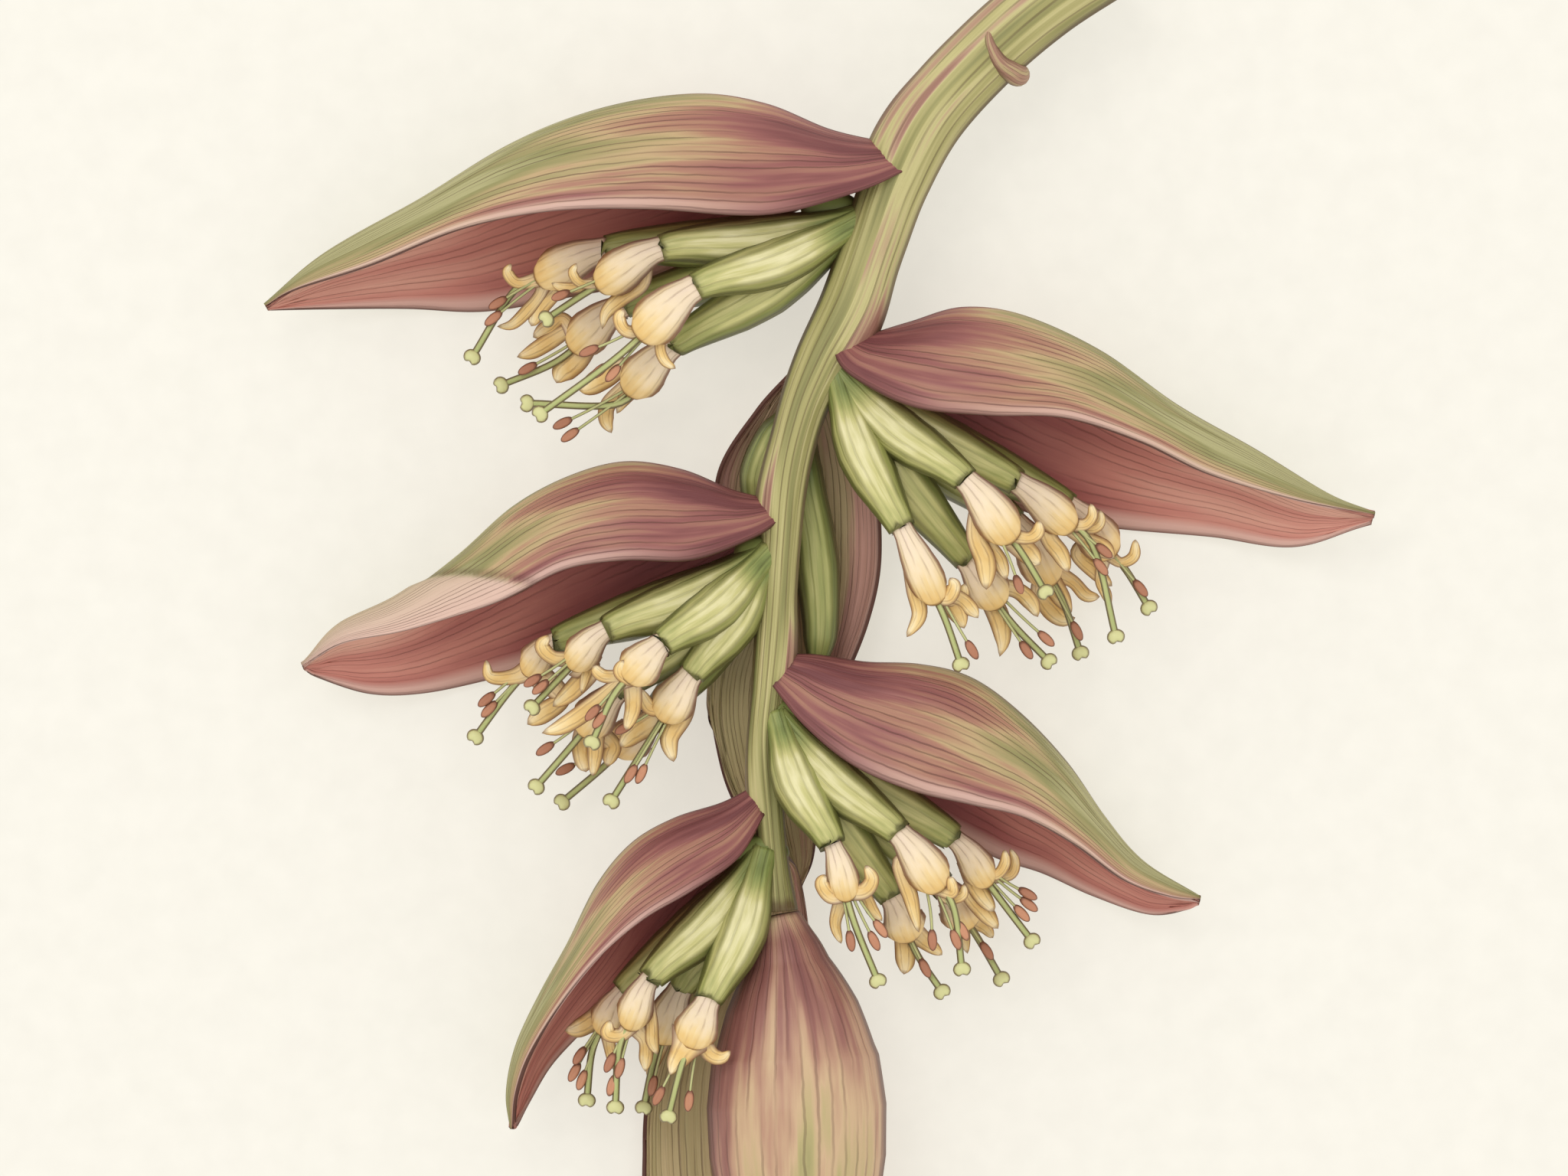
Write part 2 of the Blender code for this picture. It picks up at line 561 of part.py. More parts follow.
# Each hand: where it grows from the stalk, then for each flower its neck, its mouth, and the knob at
# the end of its style.
HANDS = {
    "left_1": {
        "root": (21.0, 122.5, 34.0),
        "flowers": [
            ((-28.8, 97.8, 50.0), (-46.5, 82.0, 53.0), (-79.3, 56.5, 51.0)),
            ((-39.4, 110.8, 41.5), (-59.8, 99.0, 41.0), (-77.3, 87.5, 48.0)),
            ((-57.5, 111.0, 26.0), (-79.8, 101.5, 26.0), (-102.0, 75.5, 28.0)),
            ((-35.5, 79.8, 31.0), (-50.5, 64.5, 31.0), (-84.0, 60.3, 34.0)),
            ((-52.0, 93.0, 17.0), (-68.8, 79.3, 15.5), (-92.8, 66.5, 18.0)),
        ],
    },
    "right_1": {
        "root": (20.5, 70.0, 34.0),
        "flowers": [
            ((38.2, 19.9, 50.0), (49.4, -3.8, 51.0), (57.5, -24.9, 50.0)),
            ((58.7, 35.5, 50.0), (73.6, 16.2, 51.0), (84.8, -1.3, 58.0)),
            ((75.5, 34.8, 36.0), (93.5, 19.9, 38.0), (108.2, -15.9, 40.0)),
            ((59.3, 10.0, 31.0), (69.9, -5.0, 31.0), (86.5, -24.0, 34.0)),
            ((74.9, 22.4, 15.5), (87.5, 2.5, 13.5), (97.3, -21.4, 15.0)),
            ((92.5, 27.0, 24.0), (107.0, 11.5, 25.0), (119.4, -6.5, 27.0)),
        ],
    },
    "left_2": {
        "root": (-8.0, 11.5, 34.0),
        "flowers": [
            ((-39.6, -18.0, 50.0), (-50.5, -29.5, 54.0), (-62.3, -50.2, 56.0)),
            ((-57.4, -13.4, 41.5), (-68.8, -24.9, 40.5), (-82.0, -38.9, 46.0)),
            ((-73.5, -16.9, 26.0), (-83.8, -27.2, 26.0), (-101.0, -48.8, 27.0)),
            ((-30.0, -27.8, 39.0), (-39.0, -42.0, 38.0), (-56.3, -69.5, 41.0)),
            ((-53.9, -33.0, 30.0), (-65.4, -46.7, 28.5), (-81.0, -65.0, 29.0)),
            ((-42.3, -41.3, 17.0), (-53.9, -53.3, 13.5), (-72.9, -70.3, 15.0)),
        ],
    },
    "right_2": {
        "root": (0.5, -42.0, 34.0),
        "flowers": [
            ((15.6, -83.0, 50.0), (20.5, -100.3, 52.0), (30.5, -127.7, 52.0)),
            ((36.9, -79.3, 47.0), (50.5, -97.2, 49.0), (57.9, -124.0, 49.0)),
            ((55.0, -81.4, 31.0), (66.4, -96.1, 31.0), (81.0, -115.3, 33.0)),
            ((34.8, -100.3, 31.0), (41.0, -114.0, 31.0), (51.6, -131.9, 33.0)),
            ((51.6, -97.1, 15.0), (60.5, -110.2, 13.0), (71.4, -128.4, 14.0)),
        ],
    },
    "left_3": {
        "root": (-9.5, -86.5, 34.0),
        "flowers": [
            ((-24.5, -133.7, 52.0), (-30.6, -148.3, 57.5), (-37.5, -171.5, 58.0)),
            ((-43.3, -126.8, 46.0), (-50.4, -142.3, 47.5), (-54.9, -169.0, 47.0)),
            ((-52.3, -131.5, 31.0), (-59.4, -144.5, 31.0), (-64.4, -167.3, 34.0)),
            ((-33.5, -130.5, 25.0), (-40.0, -147.5, 20.5), (-46.0, -170.4, 20.0)),
        ],
    },
}

# Behind the stalk is a hand of slender fingers with no flowers open; each is a line, root to point.
YOUNG_FINGERS = [
    [(4.0, 60.0, 29.0), (-6.5, 47.0, 25.5), (-10.5, 34.0, 22.0), (-8.0, 18.0, 18.0)],
    [(7.0, 60.0, 28.0), (6.0, 40.0, 21.0), (10.0, 14.0, 19.0), (12.0, -12.0, 19.0), (10.0, -30.0, 19.0)],
]
YOUNG_RADII = [(0.0, 2.6), (0.25, 6.4), (0.6, 7.4), (0.85, 5.4), (1.0, 1.4)]

# Base colour and roughness of each finish.
COLOURS = {
    "stalk": ((0.36, 0.39, 0.16), 0.5),
    "bract": ((0.27, 0.13, 0.11), 0.45),
    "bud": ((0.28, 0.14, 0.12), 0.42),
    "finger": ((0.42, 0.47, 0.17), 0.45),
    "flower": ((0.86, 0.6, 0.25), 0.5),
}


def material(slot):
    """The Principled material of one finish, made once."""
    found = bpy.data.materials.get(slot)
    if found:
        return found
    made = bpy.data.materials.new(slot)
    made.use_nodes = True
    colour, roughness = COLOURS[slot]
    shader = made.node_tree.nodes["Principled BSDF"]
    shader.inputs["Base Color"].default_value = (*colour, 1)
    shader.inputs["Roughness"].default_value = roughness
    shader.inputs["Metallic"].default_value = 0
    made.diffuse_color = (*colour, 1)
    return made


def place(point):
    """A point of the plan as a place in the scene, in metres."""
    return (Vector(point[:3]) + CENTRE) * MM


def on_curve(points, share):
    """The point at this share of a smooth curve through the given ones; any further values blend too."""
    points = [Vector(p) for p in points]
    spans = [(b.to_3d() - a.to_3d()).length for a, b in zip(points, points[1:])]
    left = share * sum(spans)
    index = 0
    while index < len(spans) - 1 and left > spans[index]:
        left -= spans[index]
        index += 1
    t = min(1.0, left / spans[index])
    a, b = points[index], points[index + 1]
    before = points[index - 1] if index else a * 2 - b
    after = points[index + 2] if index + 2 < len(points) else b * 2 - a
    leave, arrive = (b - before) / 2, (after - a) / 2
    return (
        a * (2 * t**3 - 3 * t**2 + 1)
        + leave * (t**3 - 2 * t**2 + t)
        + b * (3 * t**2 - 2 * t**3)
        + arrive * (t**3 - t**2)
    )


def along(points, share):
    """The direction of the smooth curve through the points, at this share of it."""
    step = 0.01
    low, high = max(0.0, share - step), min(1.0, share + step)
    return (on_curve(points, high) - on_curve(points, low)).to_3d().normalized()


def between(stops, share):
    """The value at this share, read from (share, value) stops."""
    for (s0, v0), (s1, v1) in zip(stops, stops[1:]):
        if share <= s1:
            t = (share - s0) / (s1 - s0)
            return v0 + (v1 - v0) * t
    return stops[-1][1]


def share_at(points, index):
    """The share of a curve's length at which its point of this index lies."""
    spans = [(Vector(b[:3]) - Vector(a[:3])).length for a, b in zip(points, points[1:])]
    return sum(spans[:index]) / sum(spans)


def new_object(name, mesh, slot, collection):
    """An object of this mesh in one finish, shaded smooth but for its sharp edges."""
    mesh.materials.clear()
    mesh.materials.append(material(slot))
    mesh.shade_smooth()
    mesh.set_sharp_from_angle(angle=math.radians(45))
    made = bpy.data.objects.new(name, mesh)
    collection.objects.link(made)
    return made


def finished(bm, name, slot, collection):
    """An object of this mesh, which is given in plan millimetres."""
    for vert in bm.verts:
        vert.co = place(vert.co)
    mesh = bpy.data.meshes.new(name)
    bm.to_mesh(mesh)
    bm.free()
    return new_object(name, mesh, slot, collection)


def tube(name, points, radii, resolution, slot, collection):
    """A round tube through the points, as a closed mesh made from a bevelled curve."""
    curve = bpy.data.curves.new(name, "CURVE")
    curve.dimensions = "3D"
    curve.bevel_depth = MM
    curve.bevel_resolution = resolution
    curve.use_fill_caps = True
    line = curve.splines.new("POLY")
    line.points.add(len(points) - 1)
    for knot, point, radius in zip(line.points, points, radii):
        knot.co = (*place(point), 1)
        knot.radius = radius
    guide = bpy.data.objects.new(name, curve)
    collection.objects.link(guide)
    bpy.context.view_layer.update()
    mesh = bpy.data.meshes.new_from_object(
        guide.evaluated_get(bpy.context.evaluated_depsgraph_get())
    )
    bpy.data.objects.remove(guide)
    bpy.data.curves.remove(curve)
    bm = bmesh.new()
    bm.from_mesh(mesh)
    bmesh.ops.remove_doubles(bm, verts=bm.verts, dist=0.01 * MM)
    bm.to_mesh(mesh)
    bm.free()
    return new_object(name, mesh, slot, collection)


def swept(name, sides, rings, where, slot, collection):
    """A drum whose corners are set by where(share along it, x, y), with x and y on a unit circle."""
    bm = bmesh.new()
    bmesh.ops.create_cone(bm, cap_ends=True, segments=sides, radius1=1, radius2=1, depth=1)
    upright = [e for e in bm.edges if abs(e.verts[0].co.z - e.verts[1].co.z) > 0.5]
    bmesh.ops.subdivide_edges(bm, edges=upright, cuts=rings - 1)
    for vert in bm.verts:
        vert.co = where(vert.co.z + 0.5, vert.co.x, vert.co.y)
    if bm.calc_volume(signed=True) < 0:
        bmesh.ops.reverse_faces(bm, faces=bm.faces)
    return finished(bm, name, slot, collection)


def pebble(name, middle, size, direction, slot, collection):
    """A small egg shape, longest along the direction."""
    bm = bmesh.new()
    bmesh.ops.create_icosphere(bm, subdivisions=1, radius=1)
    turn = direction.to_track_quat("Z", "Y").to_matrix().to_4x4()
    bm.transform(Matrix.Translation(middle) @ turn @ Matrix.Diagonal((*size, 1)))
    return finished(bm, name, slot, collection)


def outer_shell(bm):
    """The corners of the mesh's largest connected shell; any others wall off gaps inside it."""
    left, shells = set(bm.verts), []
    while left:
        shell, edge = set(), {next(vert for vert in bm.verts if vert in left)}
        while edge:
            shell |= edge
            edge = {link.other_vert(vert) for vert in edge for link in vert.link_edges} - shell
        shells.append(shell)
        left -= shell
    return max(shells, key=len)


def fused(name, pieces, slot, collection):
    """One object from pieces that overlap: their Boolean union, applied."""
    group = bpy.data.collections.new(name + "_pieces")
    bpy.context.scene.collection.children.link(group)
    base = pieces[0]
    for piece in pieces[1:]:
        group.objects.link(piece)
    union = base.modifiers.new("union", "BOOLEAN")
    union.operation = "UNION"
    union.operand_type = "COLLECTION"
    union.collection = group
    union.solver = "EXACT"
    union.use_self = True
    bpy.context.view_layer.update()
    mesh = bpy.data.meshes.new_from_object(
        base.evaluated_get(bpy.context.evaluated_depsgraph_get())
    )
    for piece in pieces:
        bpy.data.objects.remove(piece)
    bpy.data.collections.remove(group)
    bm = bmesh.new()
    bm.from_mesh(mesh)
    keep = outer_shell(bm)
    bmesh.ops.delete(bm, geom=[vert for vert in bm.verts if vert not in keep], context="VERTS")
    bmesh.ops.remove_doubles(bm, verts=bm.verts, dist=0.002 * MM)
    bm.to_mesh(mesh)
    bm.free()
    return new_object(name, mesh, slot, collection)


def trimmed(obj, cutter):
    """The object fits against the cutter's shape, which is cut from it."""
    cut = obj.modifiers.new("fit", "BOOLEAN")
    cut.operation = "DIFFERENCE"
    cut.object = cutter
    cut.solver = "EXACT"
    return obj


def stalk(name, extra, collection):
    """The stalk's tube, grown by extra for the cutter that fits its neighbours to it."""
    line = [on_curve(STALK, i / STALK_RINGS) for i in range(STALK_RINGS + 1)]
    radii = [p[3] + extra for p in line]
    return tube(name, line, radii, STALK_SIDES, "stalk", collection)


def stalk_with_scar(blossom, workshop):
    """The stalk and the lip that a fallen bract left on it."""
    body = stalk("stalk_body", 0, workshop)
    lip = tube("lip", SCAR, [p[3] for p in SCAR], 1, "stalk", workshop)
    return fused("stalk", [body, lip], "stalk", blossom)


def bract_point(shape, share, side):
    """A point of a bract's outer face: share from foot to tip, side from -1, far edge, to 1, near edge."""
    ridge = on_curve(shape["ridge"], share)
    edge = on_curve(shape["near" if side > 0 else "far"], share)
    reach = edge - ridge
    outward = shape["across"] * reach.dot(shape["across"])
    angle = abs(side) * math.pi / 2
    return ridge + outward * math.sin(angle) + (reach - outward) * (1 - math.cos(angle))


def bract(name, shape, collection):
    """A boat-shaped bract: its outer face, thickened inwards."""
    bm = bmesh.new()
    bmesh.ops.create_grid(bm, x_segments=BRACT_LENGTHWISE, y_segments=BRACT_SIDEWAYS, size=1)
    for vert in bm.verts:
        vert.co = bract_point(shape, (vert.co.x + 1) / 2, vert.co.y)
    bmesh.ops.triangulate(bm, faces=bm.faces)
    bm.normal_update()
    middle = bract_point(shape, 0.5, 0)
    open_side = (bract_point(shape, 0.5, 1) + bract_point(shape, 0.5, -1)) / 2
    nearest = min(bm.faces, key=lambda f: (f.calc_center_median() - middle).length)
    if nearest.normal.dot(middle - open_side) < 0:
        bmesh.ops.reverse_faces(bm, faces=bm.faces)
    made = finished(bm, name, "bract", collection)
    wall = made.modifiers.new("wall", "SOLIDIFY")
    wall.thickness = BRACT_THICKNESS * MM
    wall.offset = -1
    return made


def bud_point(share, x, y):
    """A point of the bud: a swelling body that narrows to its tip, wrapped in bracts whose edges step."""
    middle = on_curve(BUD_AXIS, share)
    direction = along(BUD_AXIS, share)
    side = direction.cross(UP).normalized()
    front = side.cross(direction)
    angle = math.degrees(math.atan2(x, y))
    reach = 150 - 75 * share
    covered = 1 / (1 + math.exp((abs(angle) - reach) / 6))
    radius = between(BUD_RADII, share) - BUD_STEP * (1 - covered) * math.sin(math.pi * share)
    return middle + (side * x + front * y) * radius


def bud(collection):
    return swept("bud", BUD_SIDES, BUD_RINGS, bud_point, "bud", collection)


def finger_line(root, neck, mouth):
    """A finger's centreline from the stalk through its neck to the flower's mouth."""
    root, neck, mouth = Vector(root), Vector(neck), Vector(mouth)
    belly = root.lerp(neck, 0.5) + (neck - root).cross(UP).normalized() * -1.5
    belly.z += 1.5
    return [root, belly, neck, mouth]


def finger_points(line):
    """The rings' middles of a finger on this line."""
    neck = share_at(line, 2)
    return [on_curve(line, neck * i / FINGER_RINGS) for i in range(FINGER_RINGS + 1)]


def finger(name, points, stops, collection):
    """A finger through these points, its radius read from the stops."""
    radii = [between(stops, i / FINGER_RINGS) for i in range(FINGER_RINGS + 1)]
    return tube(name, points, radii, 1, "finger", collection)


def hood_point(line, wide):
    """Where the corners of a hood go: from just off its finger's end to its mouth, longer in front."""
    end = finger_points(line)
    across_end = (end[-1] - end[-2]).to_3d().normalized()
    neck = share_at(line, 2)

    def where(share, x, y):
        middle, ahead = end[-1] + across_end * GAP, across_end
        if share > 0:
            middle = on_curve(line, neck + (1 - neck) * share)
            ahead = along(line, neck + (1 - neck) * share)
        right = ahead.cross(UP).normalized()
        past = HOOD_LIP[0] + (HOOD_LIP[1] - HOOD_LIP[0]) * max(0.0, y)
        middle = middle + ahead * past * max(0.0, share - 0.4) / 0.6
        reach = wide * between(HOOD_RADII, share)
        return middle + (right * x + right.cross(ahead) * y * HOOD_FLAT) * reach

    return where


def lobe_point(line, low, high, outline):
    """Where a lobe's corners go: a flat ribbon from inside its hood along the places it passes."""
    neck, mouth = line[2], line[3]
    first = Vector((*outline[0][:2], mouth.z + low))
    hood = mouth - neck
    share = min(0.9, max(0.4, (first - neck).dot(hood) / hood.dot(hood)))
    start = (neck + hood * share).lerp(first, 0.3)
    end = Vector((*outline[-1][:2], mouth.z + high))
    places = [(*start, outline[0][2])]
    for i, (x, y, wide) in enumerate(outline):
        spot = Vector((x, y, mouth.z + low + (high - low) * i / (len(outline) - 1)))
        if (spot - start).length > 4 and (spot - start).dot(end - start) > 0:
            places.append((*spot, wide))

    def where(share, x, y):
        spot = on_curve(places, share)
        ahead = along(places, share)
        side = ahead.cross(UP).normalized()
        reach = spot[3] / 2 * (0.6 if share == 1 else 1)
        return spot.to_3d() + side * x * reach + side.cross(ahead) * y * LOBE_THICKNESS / 2

    return where


def flower(name, line, knob, collection, workshop):
    """One flower: the hood, its lobes, the style with its knob, and the stamens, in one piece."""
    mouth, direction = line[3], along(line, 1.0)
    front = direction.cross(UP).normalized().cross(direction)
    where = hood_point(line, HOOD_WIDTHS.get(name, 1.0))
    pieces = [swept("hood", HOOD_SIDES, HOOD_RINGS, where, "flower", workshop)]
    for low, high, outline in LOBES[name]:
        where = lobe_point(line, low, high, outline)
        pieces.append(swept("lobe", 4, LOBE_RINGS, where, "flower", workshop))
    knob = Vector(knob)
    leave = mouth - direction * 6 - front * 1.5
    style = [leave, mouth + direction * (knob - mouth).length * 0.3, knob]
    points = [on_curve(style, i / 3) for i in range(4)]
    pieces.append(tube("style", points, [STYLE_RADIUS] * 4, 0, "flower", workshop))
    size = (KNOB_RADIUS, KNOB_RADIUS, KNOB_RADIUS * 0.8)
    pieces.append(pebble("knob", knob, size, along(style, 1.0), "flower", workshop))
    for number, (x, y) in enumerate(ANTHERS[name]):
        reach = (Vector((x, y)) - mouth.xy).length / max(1.0, (knob.xy - mouth.xy).length)
        tip = Vector((x, y, mouth.z + (knob.z - mouth.z) * reach + 2.5 - number))
        pieces.append(tube("filament", [leave, tip], [FILAMENT_RADIUS] * 2, 0, "flower", workshop))
        heading = (tip - leave).normalized()
        pieces.append(pebble("anther", tip, ANTHER_SIZE, heading, "flower", workshop))
    return fused("flower_" + name, pieces, "flower", collection)


def hand(name, plan, cutter, blossom, workshop):
    """A hand: its fingers joined where they leave the stalk, and a flower at the end of each."""
    root = Vector(plan["root"])
    pieces = [pebble("cushion", root, CUSHION_SIZE, UP, "finger", workshop)]
    for letter, (neck, mouth, knob) in zip("abcdef", plan["flowers"]):
        foot = root + UP * (neck[2] - root.z) * 0.3
        line = finger_line(foot, neck, mouth)
        pieces.append(finger("finger", finger_points(line), FINGER_RADII, workshop))
        flower(f"{name}_{letter}", line, knob, blossom, workshop)
    trimmed(fused("fingers_" + name, pieces, "finger", blossom), cutter)


def young_hand(cutter, blossom, workshop):
    """The unopened hand behind the stalk."""
    pieces = []
    for line in YOUNG_FINGERS:
        points = [on_curve(line, i / FINGER_RINGS) for i in range(FINGER_RINGS + 1)]
        pieces.append(finger("finger", points, YOUNG_RADII, workshop))
    trimmed(fused("fingers_back_1", pieces, "finger", blossom), cutter)


def clear():
    for obj in list(bpy.data.objects):
        bpy.data.objects.remove(obj)


def main():
    clear()
    blossom = bpy.data.collections.new("banana_blossom")
    workshop = bpy.data.collections.new("cutters")
    bpy.context.scene.collection.children.link(blossom)
    bpy.context.scene.collection.children.link(workshop)
    stalk_with_scar(blossom, workshop)
    clearance = stalk("stalk_clearance", GAP, workshop)
    clearance.hide_render = True
    clearance.display_type = "WIRE"
    for name, shape in BRACTS.items():
        trimmed(bract(name, shape, blossom), clearance)
    bud(blossom)
    for name, plan in HANDS.items():
        hand(name, plan, clearance, blossom, workshop)
    young_hand(clearance, blossom, workshop)


main()
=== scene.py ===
"""A cut banana blossom on a pale floor: the fine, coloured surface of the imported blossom.

Lengths are in millimetres until the meshes are made.  Seen from above, X runs to the right and Y up
the stalk, towards its cut end; Z is the height above the floor.
"""

from math import cos, degrees, exp, pi, sin

import bmesh
import bpy
from mathutils import Matrix, Vector, noise


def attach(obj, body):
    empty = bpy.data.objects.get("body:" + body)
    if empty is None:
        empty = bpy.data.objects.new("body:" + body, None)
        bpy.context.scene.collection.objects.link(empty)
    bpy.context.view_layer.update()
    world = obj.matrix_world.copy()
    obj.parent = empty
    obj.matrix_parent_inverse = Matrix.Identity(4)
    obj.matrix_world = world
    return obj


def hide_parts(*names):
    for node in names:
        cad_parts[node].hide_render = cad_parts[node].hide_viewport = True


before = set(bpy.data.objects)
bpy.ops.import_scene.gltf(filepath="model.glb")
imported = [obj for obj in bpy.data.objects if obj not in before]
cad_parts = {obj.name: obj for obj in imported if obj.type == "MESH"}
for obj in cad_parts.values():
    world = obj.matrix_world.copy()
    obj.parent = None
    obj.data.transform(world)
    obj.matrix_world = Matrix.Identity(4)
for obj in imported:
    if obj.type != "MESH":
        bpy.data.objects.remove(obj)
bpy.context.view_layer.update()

MM = 0.001

# The plan is drawn round a point inside the blossom; this moves it to the middle of the blossom's box.
CENTRE = Vector((-11.65, 24.9, 0.0))

UP = Vector((0, 0, 1))
ACROSS = Vector((1, 0, 0))

# The stalk's centreline from the cut end to the bud, with its radius in the fourth place.
STALK = [
    (106.5, 205, 35, 12.2), (85.5, 191.3, 34.5, 12.2), (66.5, 175, 34, 12), (47.8, 154.5, 34, 12),
    (36.8, 133, 34, 11.2), (29.5, 113, 34, 10.7), (22, 92.5, 34, 10.6), (12.5, 74, 34, 9.4),
    (5.5, 57, 34, 8), (0.8, 37, 34, 7.4), (-1.5, 12, 34, 6.8), (-3, -12, 34, 6.6), (-4.8, -32, 34, 6),
    (-6.3, -50, 34, 5.6), (-4.8, -73, 34, 4.9), (-3.3, -90, 34, 5), (-2.2, -105.6, 34, 6.8),
]

# The lip that a fallen bract left on the stalk, in the same way.
SCAR = [
    (66.6, 184.2, 42.6, 0.5), (67, 178, 44.6, 1.3), (69.8, 172, 43.6, 2), (74, 168.6, 39.5, 2.6),
    (76.6, 167.6, 34, 2.6), (76.4, 170, 28, 1.4),
]

# Each bract's three lines from foot to tip: its ridge, its near margin and its far margin.
BRACTS = {
    "left_1": (
        [(33, 145.5, 34), (15, 149.8, 35), (-6, 158.3, 35), (-29.5, 161.5, 34), (-59.8, 156.8, 33),
         (-90.3, 144.8, 31), (-120.5, 126.5, 29), (-150.8, 109.3, 27), (-170.2, 93, 26)],
        [(42, 137, 44), (23.5, 128.5, 51), (-6, 121, 58), (-43.5, 122.8, 59), (-75, 122.3, 55),
         (-105.3, 116.8, 47), (-135.5, 105.3, 38), (-159.8, 97.8, 30), (-169.7, 92.3, 27.6)],
        [(33, 137, 24), (14, 128.5, 14), (-12, 116, 5), (-43.5, 102, 1), (-75, 95, 0), (-99.3, 91, 1),
         (-123.5, 91.8, 5), (-147.8, 91.5, 13), (-169, 90.8, 24.4)],
    ),
    "right_1": (
        [(28.5, 83, 34), (41.3, 87, 34), (58.5, 91.8, 34), (78.5, 89, 34), (103.5, 77.8, 33),
         (128.3, 59.8, 31), (153.3, 46, 29), (178, 31, 27), (193.5, 24.8, 26)],
        [(15.5, 78, 42), (21.5, 69.5, 48), (41.3, 59, 58), (66, 56, 61), (91, 55.3, 57), (115.8, 47.8, 49),
         (138.3, 37.3, 41), (165.5, 29.3, 33), (193.2, 24, 27.6)],
        [(20, 76, 24), (31.5, 56, 15), (48, 42, 7), (70, 29, 2), (90, 22, 0.4), (112, 19.3, 0.3),
         (140.8, 16.8, 4), (168.3, 13.5, 13), (192.5, 21.5, 24.4)],
    ),
    "left_2": (
        [(-6.5, 29.5, 34), (-17.3, 32.3, 35), (-33.3, 38.8, 35), (-51.8, 41.5, 34), (-70, 37, 33),
         (-88.5, 26.8, 31), (-106.8, 10.8, 29), (-126.3, -3.8, 27), (-146, -13.5, 26), (-158, -24.6, 26)],
        [(-1, 22.5, 40), (-10.3, 16.5, 46), (-29.8, 9.3, 54), (-51.8, 9, 57), (-71, 6, 54),
         (-90.8, -3.8, 48), (-107.8, -9.5, 41), (-125, -14.3, 35), (-144.5, -18, 30), (-157.7, -25.4, 27.6)],
        [(-5, 23, 27), (-14, 12, 19), (-29, 0, 9), (-50, -13, 3), (-75, -24.3, 1), (-98, -30.5, 1.2),
         (-119.3, -34.8, 5), (-136.5, -34.8, 11), (-152.8, -29.5, 20), (-157.4, -26.6, 24.4)],
    ),
    "right_2": (
        [(2.5, -21.5, 34), (11.5, -21.8, 34), (26.3, -24, 35), (44.3, -24.8, 35), (61, -29.5, 34),
         (77.8, -41.5, 33), (92.5, -56.8, 31), (105.3, -75, 29), (117.8, -89.3, 28), (136.4, -100.9, 27)],
        [(-4.5, -31, 39.5), (6.3, -44.5, 47), (22, -57.3, 54), (41, -65.5, 58), (61, -70.3, 56),
         (78, -74.5, 50), (94.8, -83.5, 43), (111.5, -95.5, 35), (126.3, -100.8, 30), (136.2, -101.8, 28.4)],
        [(-1, -29, 28), (11, -42, 20), (24, -58, 11), (44, -75.5, 4), (68.5, -88.3, 1.2), (85.3, -94, 1.2),
         (102, -101.5, 6), (120, -107.3, 14), (132, -105.5, 22), (136, -103, 25.6)],
    ),
    "left_3": (
        [(-9.5, -64.5, 34), (-20.3, -70, 35), (-35.8, -75, 36), (-49.5, -83, 36), (-60.8, -96.3, 36),
         (-70.3, -114.8, 34), (-79.8, -132, 32), (-87.5, -149.3, 30), (-90.8, -165, 28), (-89.6, -177, 27)],
        [(-6, -73.5, 38.5), (-15, -88, 48), (-29.8, -98.3, 57), (-46, -107.8, 61), (-60.8, -120.8, 58),
         (-72.8, -135.5, 50), (-83, -151.8, 41), (-87.8, -165, 33), (-89, -176.7, 28.6)],
        [(-7.5, -71, 29.5), (-13, -85, 22), (-25, -103, 13), (-41, -121.5, 6), (-56, -136.5, 3),
         (-68.3, -148.3, 3), (-77.3, -158, 8), (-83.5, -168, 16), (-88.2, -176.4, 25.4)],
    ),
    "back_1": (
        [(6.5, 72, 29), (5.8, 60, 16), (5.3, 42, 6), (5.3, 12, 2), (6.5, -18, 3.5), (8.5, -38, 8),
         (9, -49.3, 12)],
        [(10, 72, 31), (20, 58, 23), (29, 36, 17), (31, 10, 14), (27, -12, 13), (18, -34, 13),
         (10.6, -49.3, 12.6)],
        [(3, 72, 31), (-9.5, 58, 22), (-22, 37, 16), (-22, 10, 13), (-17, -10, 12), (-4, -33, 12),
         (7.4, -49.3, 12.6)],
    ),
    "back_2": (
        [(-4, -4, 30), (-5.5, -20, 17), (-7.3, -38, 13), (-6, -55, 11), (-3, -72, 8), (1, -88, 7),
         (4.5, -98, 8)],
        [(-2, -4, 31), (0.5, -20, 19), (3, -38, 15), (6.5, -55, 13.5), (9.5, -72, 11), (9.5, -88, 9),
         (6, -98, 8.6)],
        [(-6.5, -4, 31), (-20.5, -20, 14), (-24, -37, 12.5), (-22.3, -53, 13), (-17.3, -69.3, 12.5),
         (-6, -88, 11), (3, -98, 8.6)],
    ),
    "back_3": (
        [(-1.8, -86, 31), (0, -96, 12), (-12, -126, 1), (-20, -158, 0.2), (-20, -188, 0.6), (-16, -218, 4),
         (-9.8, -241, 11)],
        [(0.6, -86, 33.5), (5, -96, 13.5), (9, -126, 2), (12, -158, 0.8), (12, -188, 1.4), (5, -218, 5),
         (-8.2, -241, 11.6)],
        [(-4.2, -86, 33), (-5, -96, 13), (-30, -128, 7), (-43.5, -157, 6.5), (-47, -184, 7),
         (-42, -212, 11), (-11.4, -241, 11.6)],
    ),
}

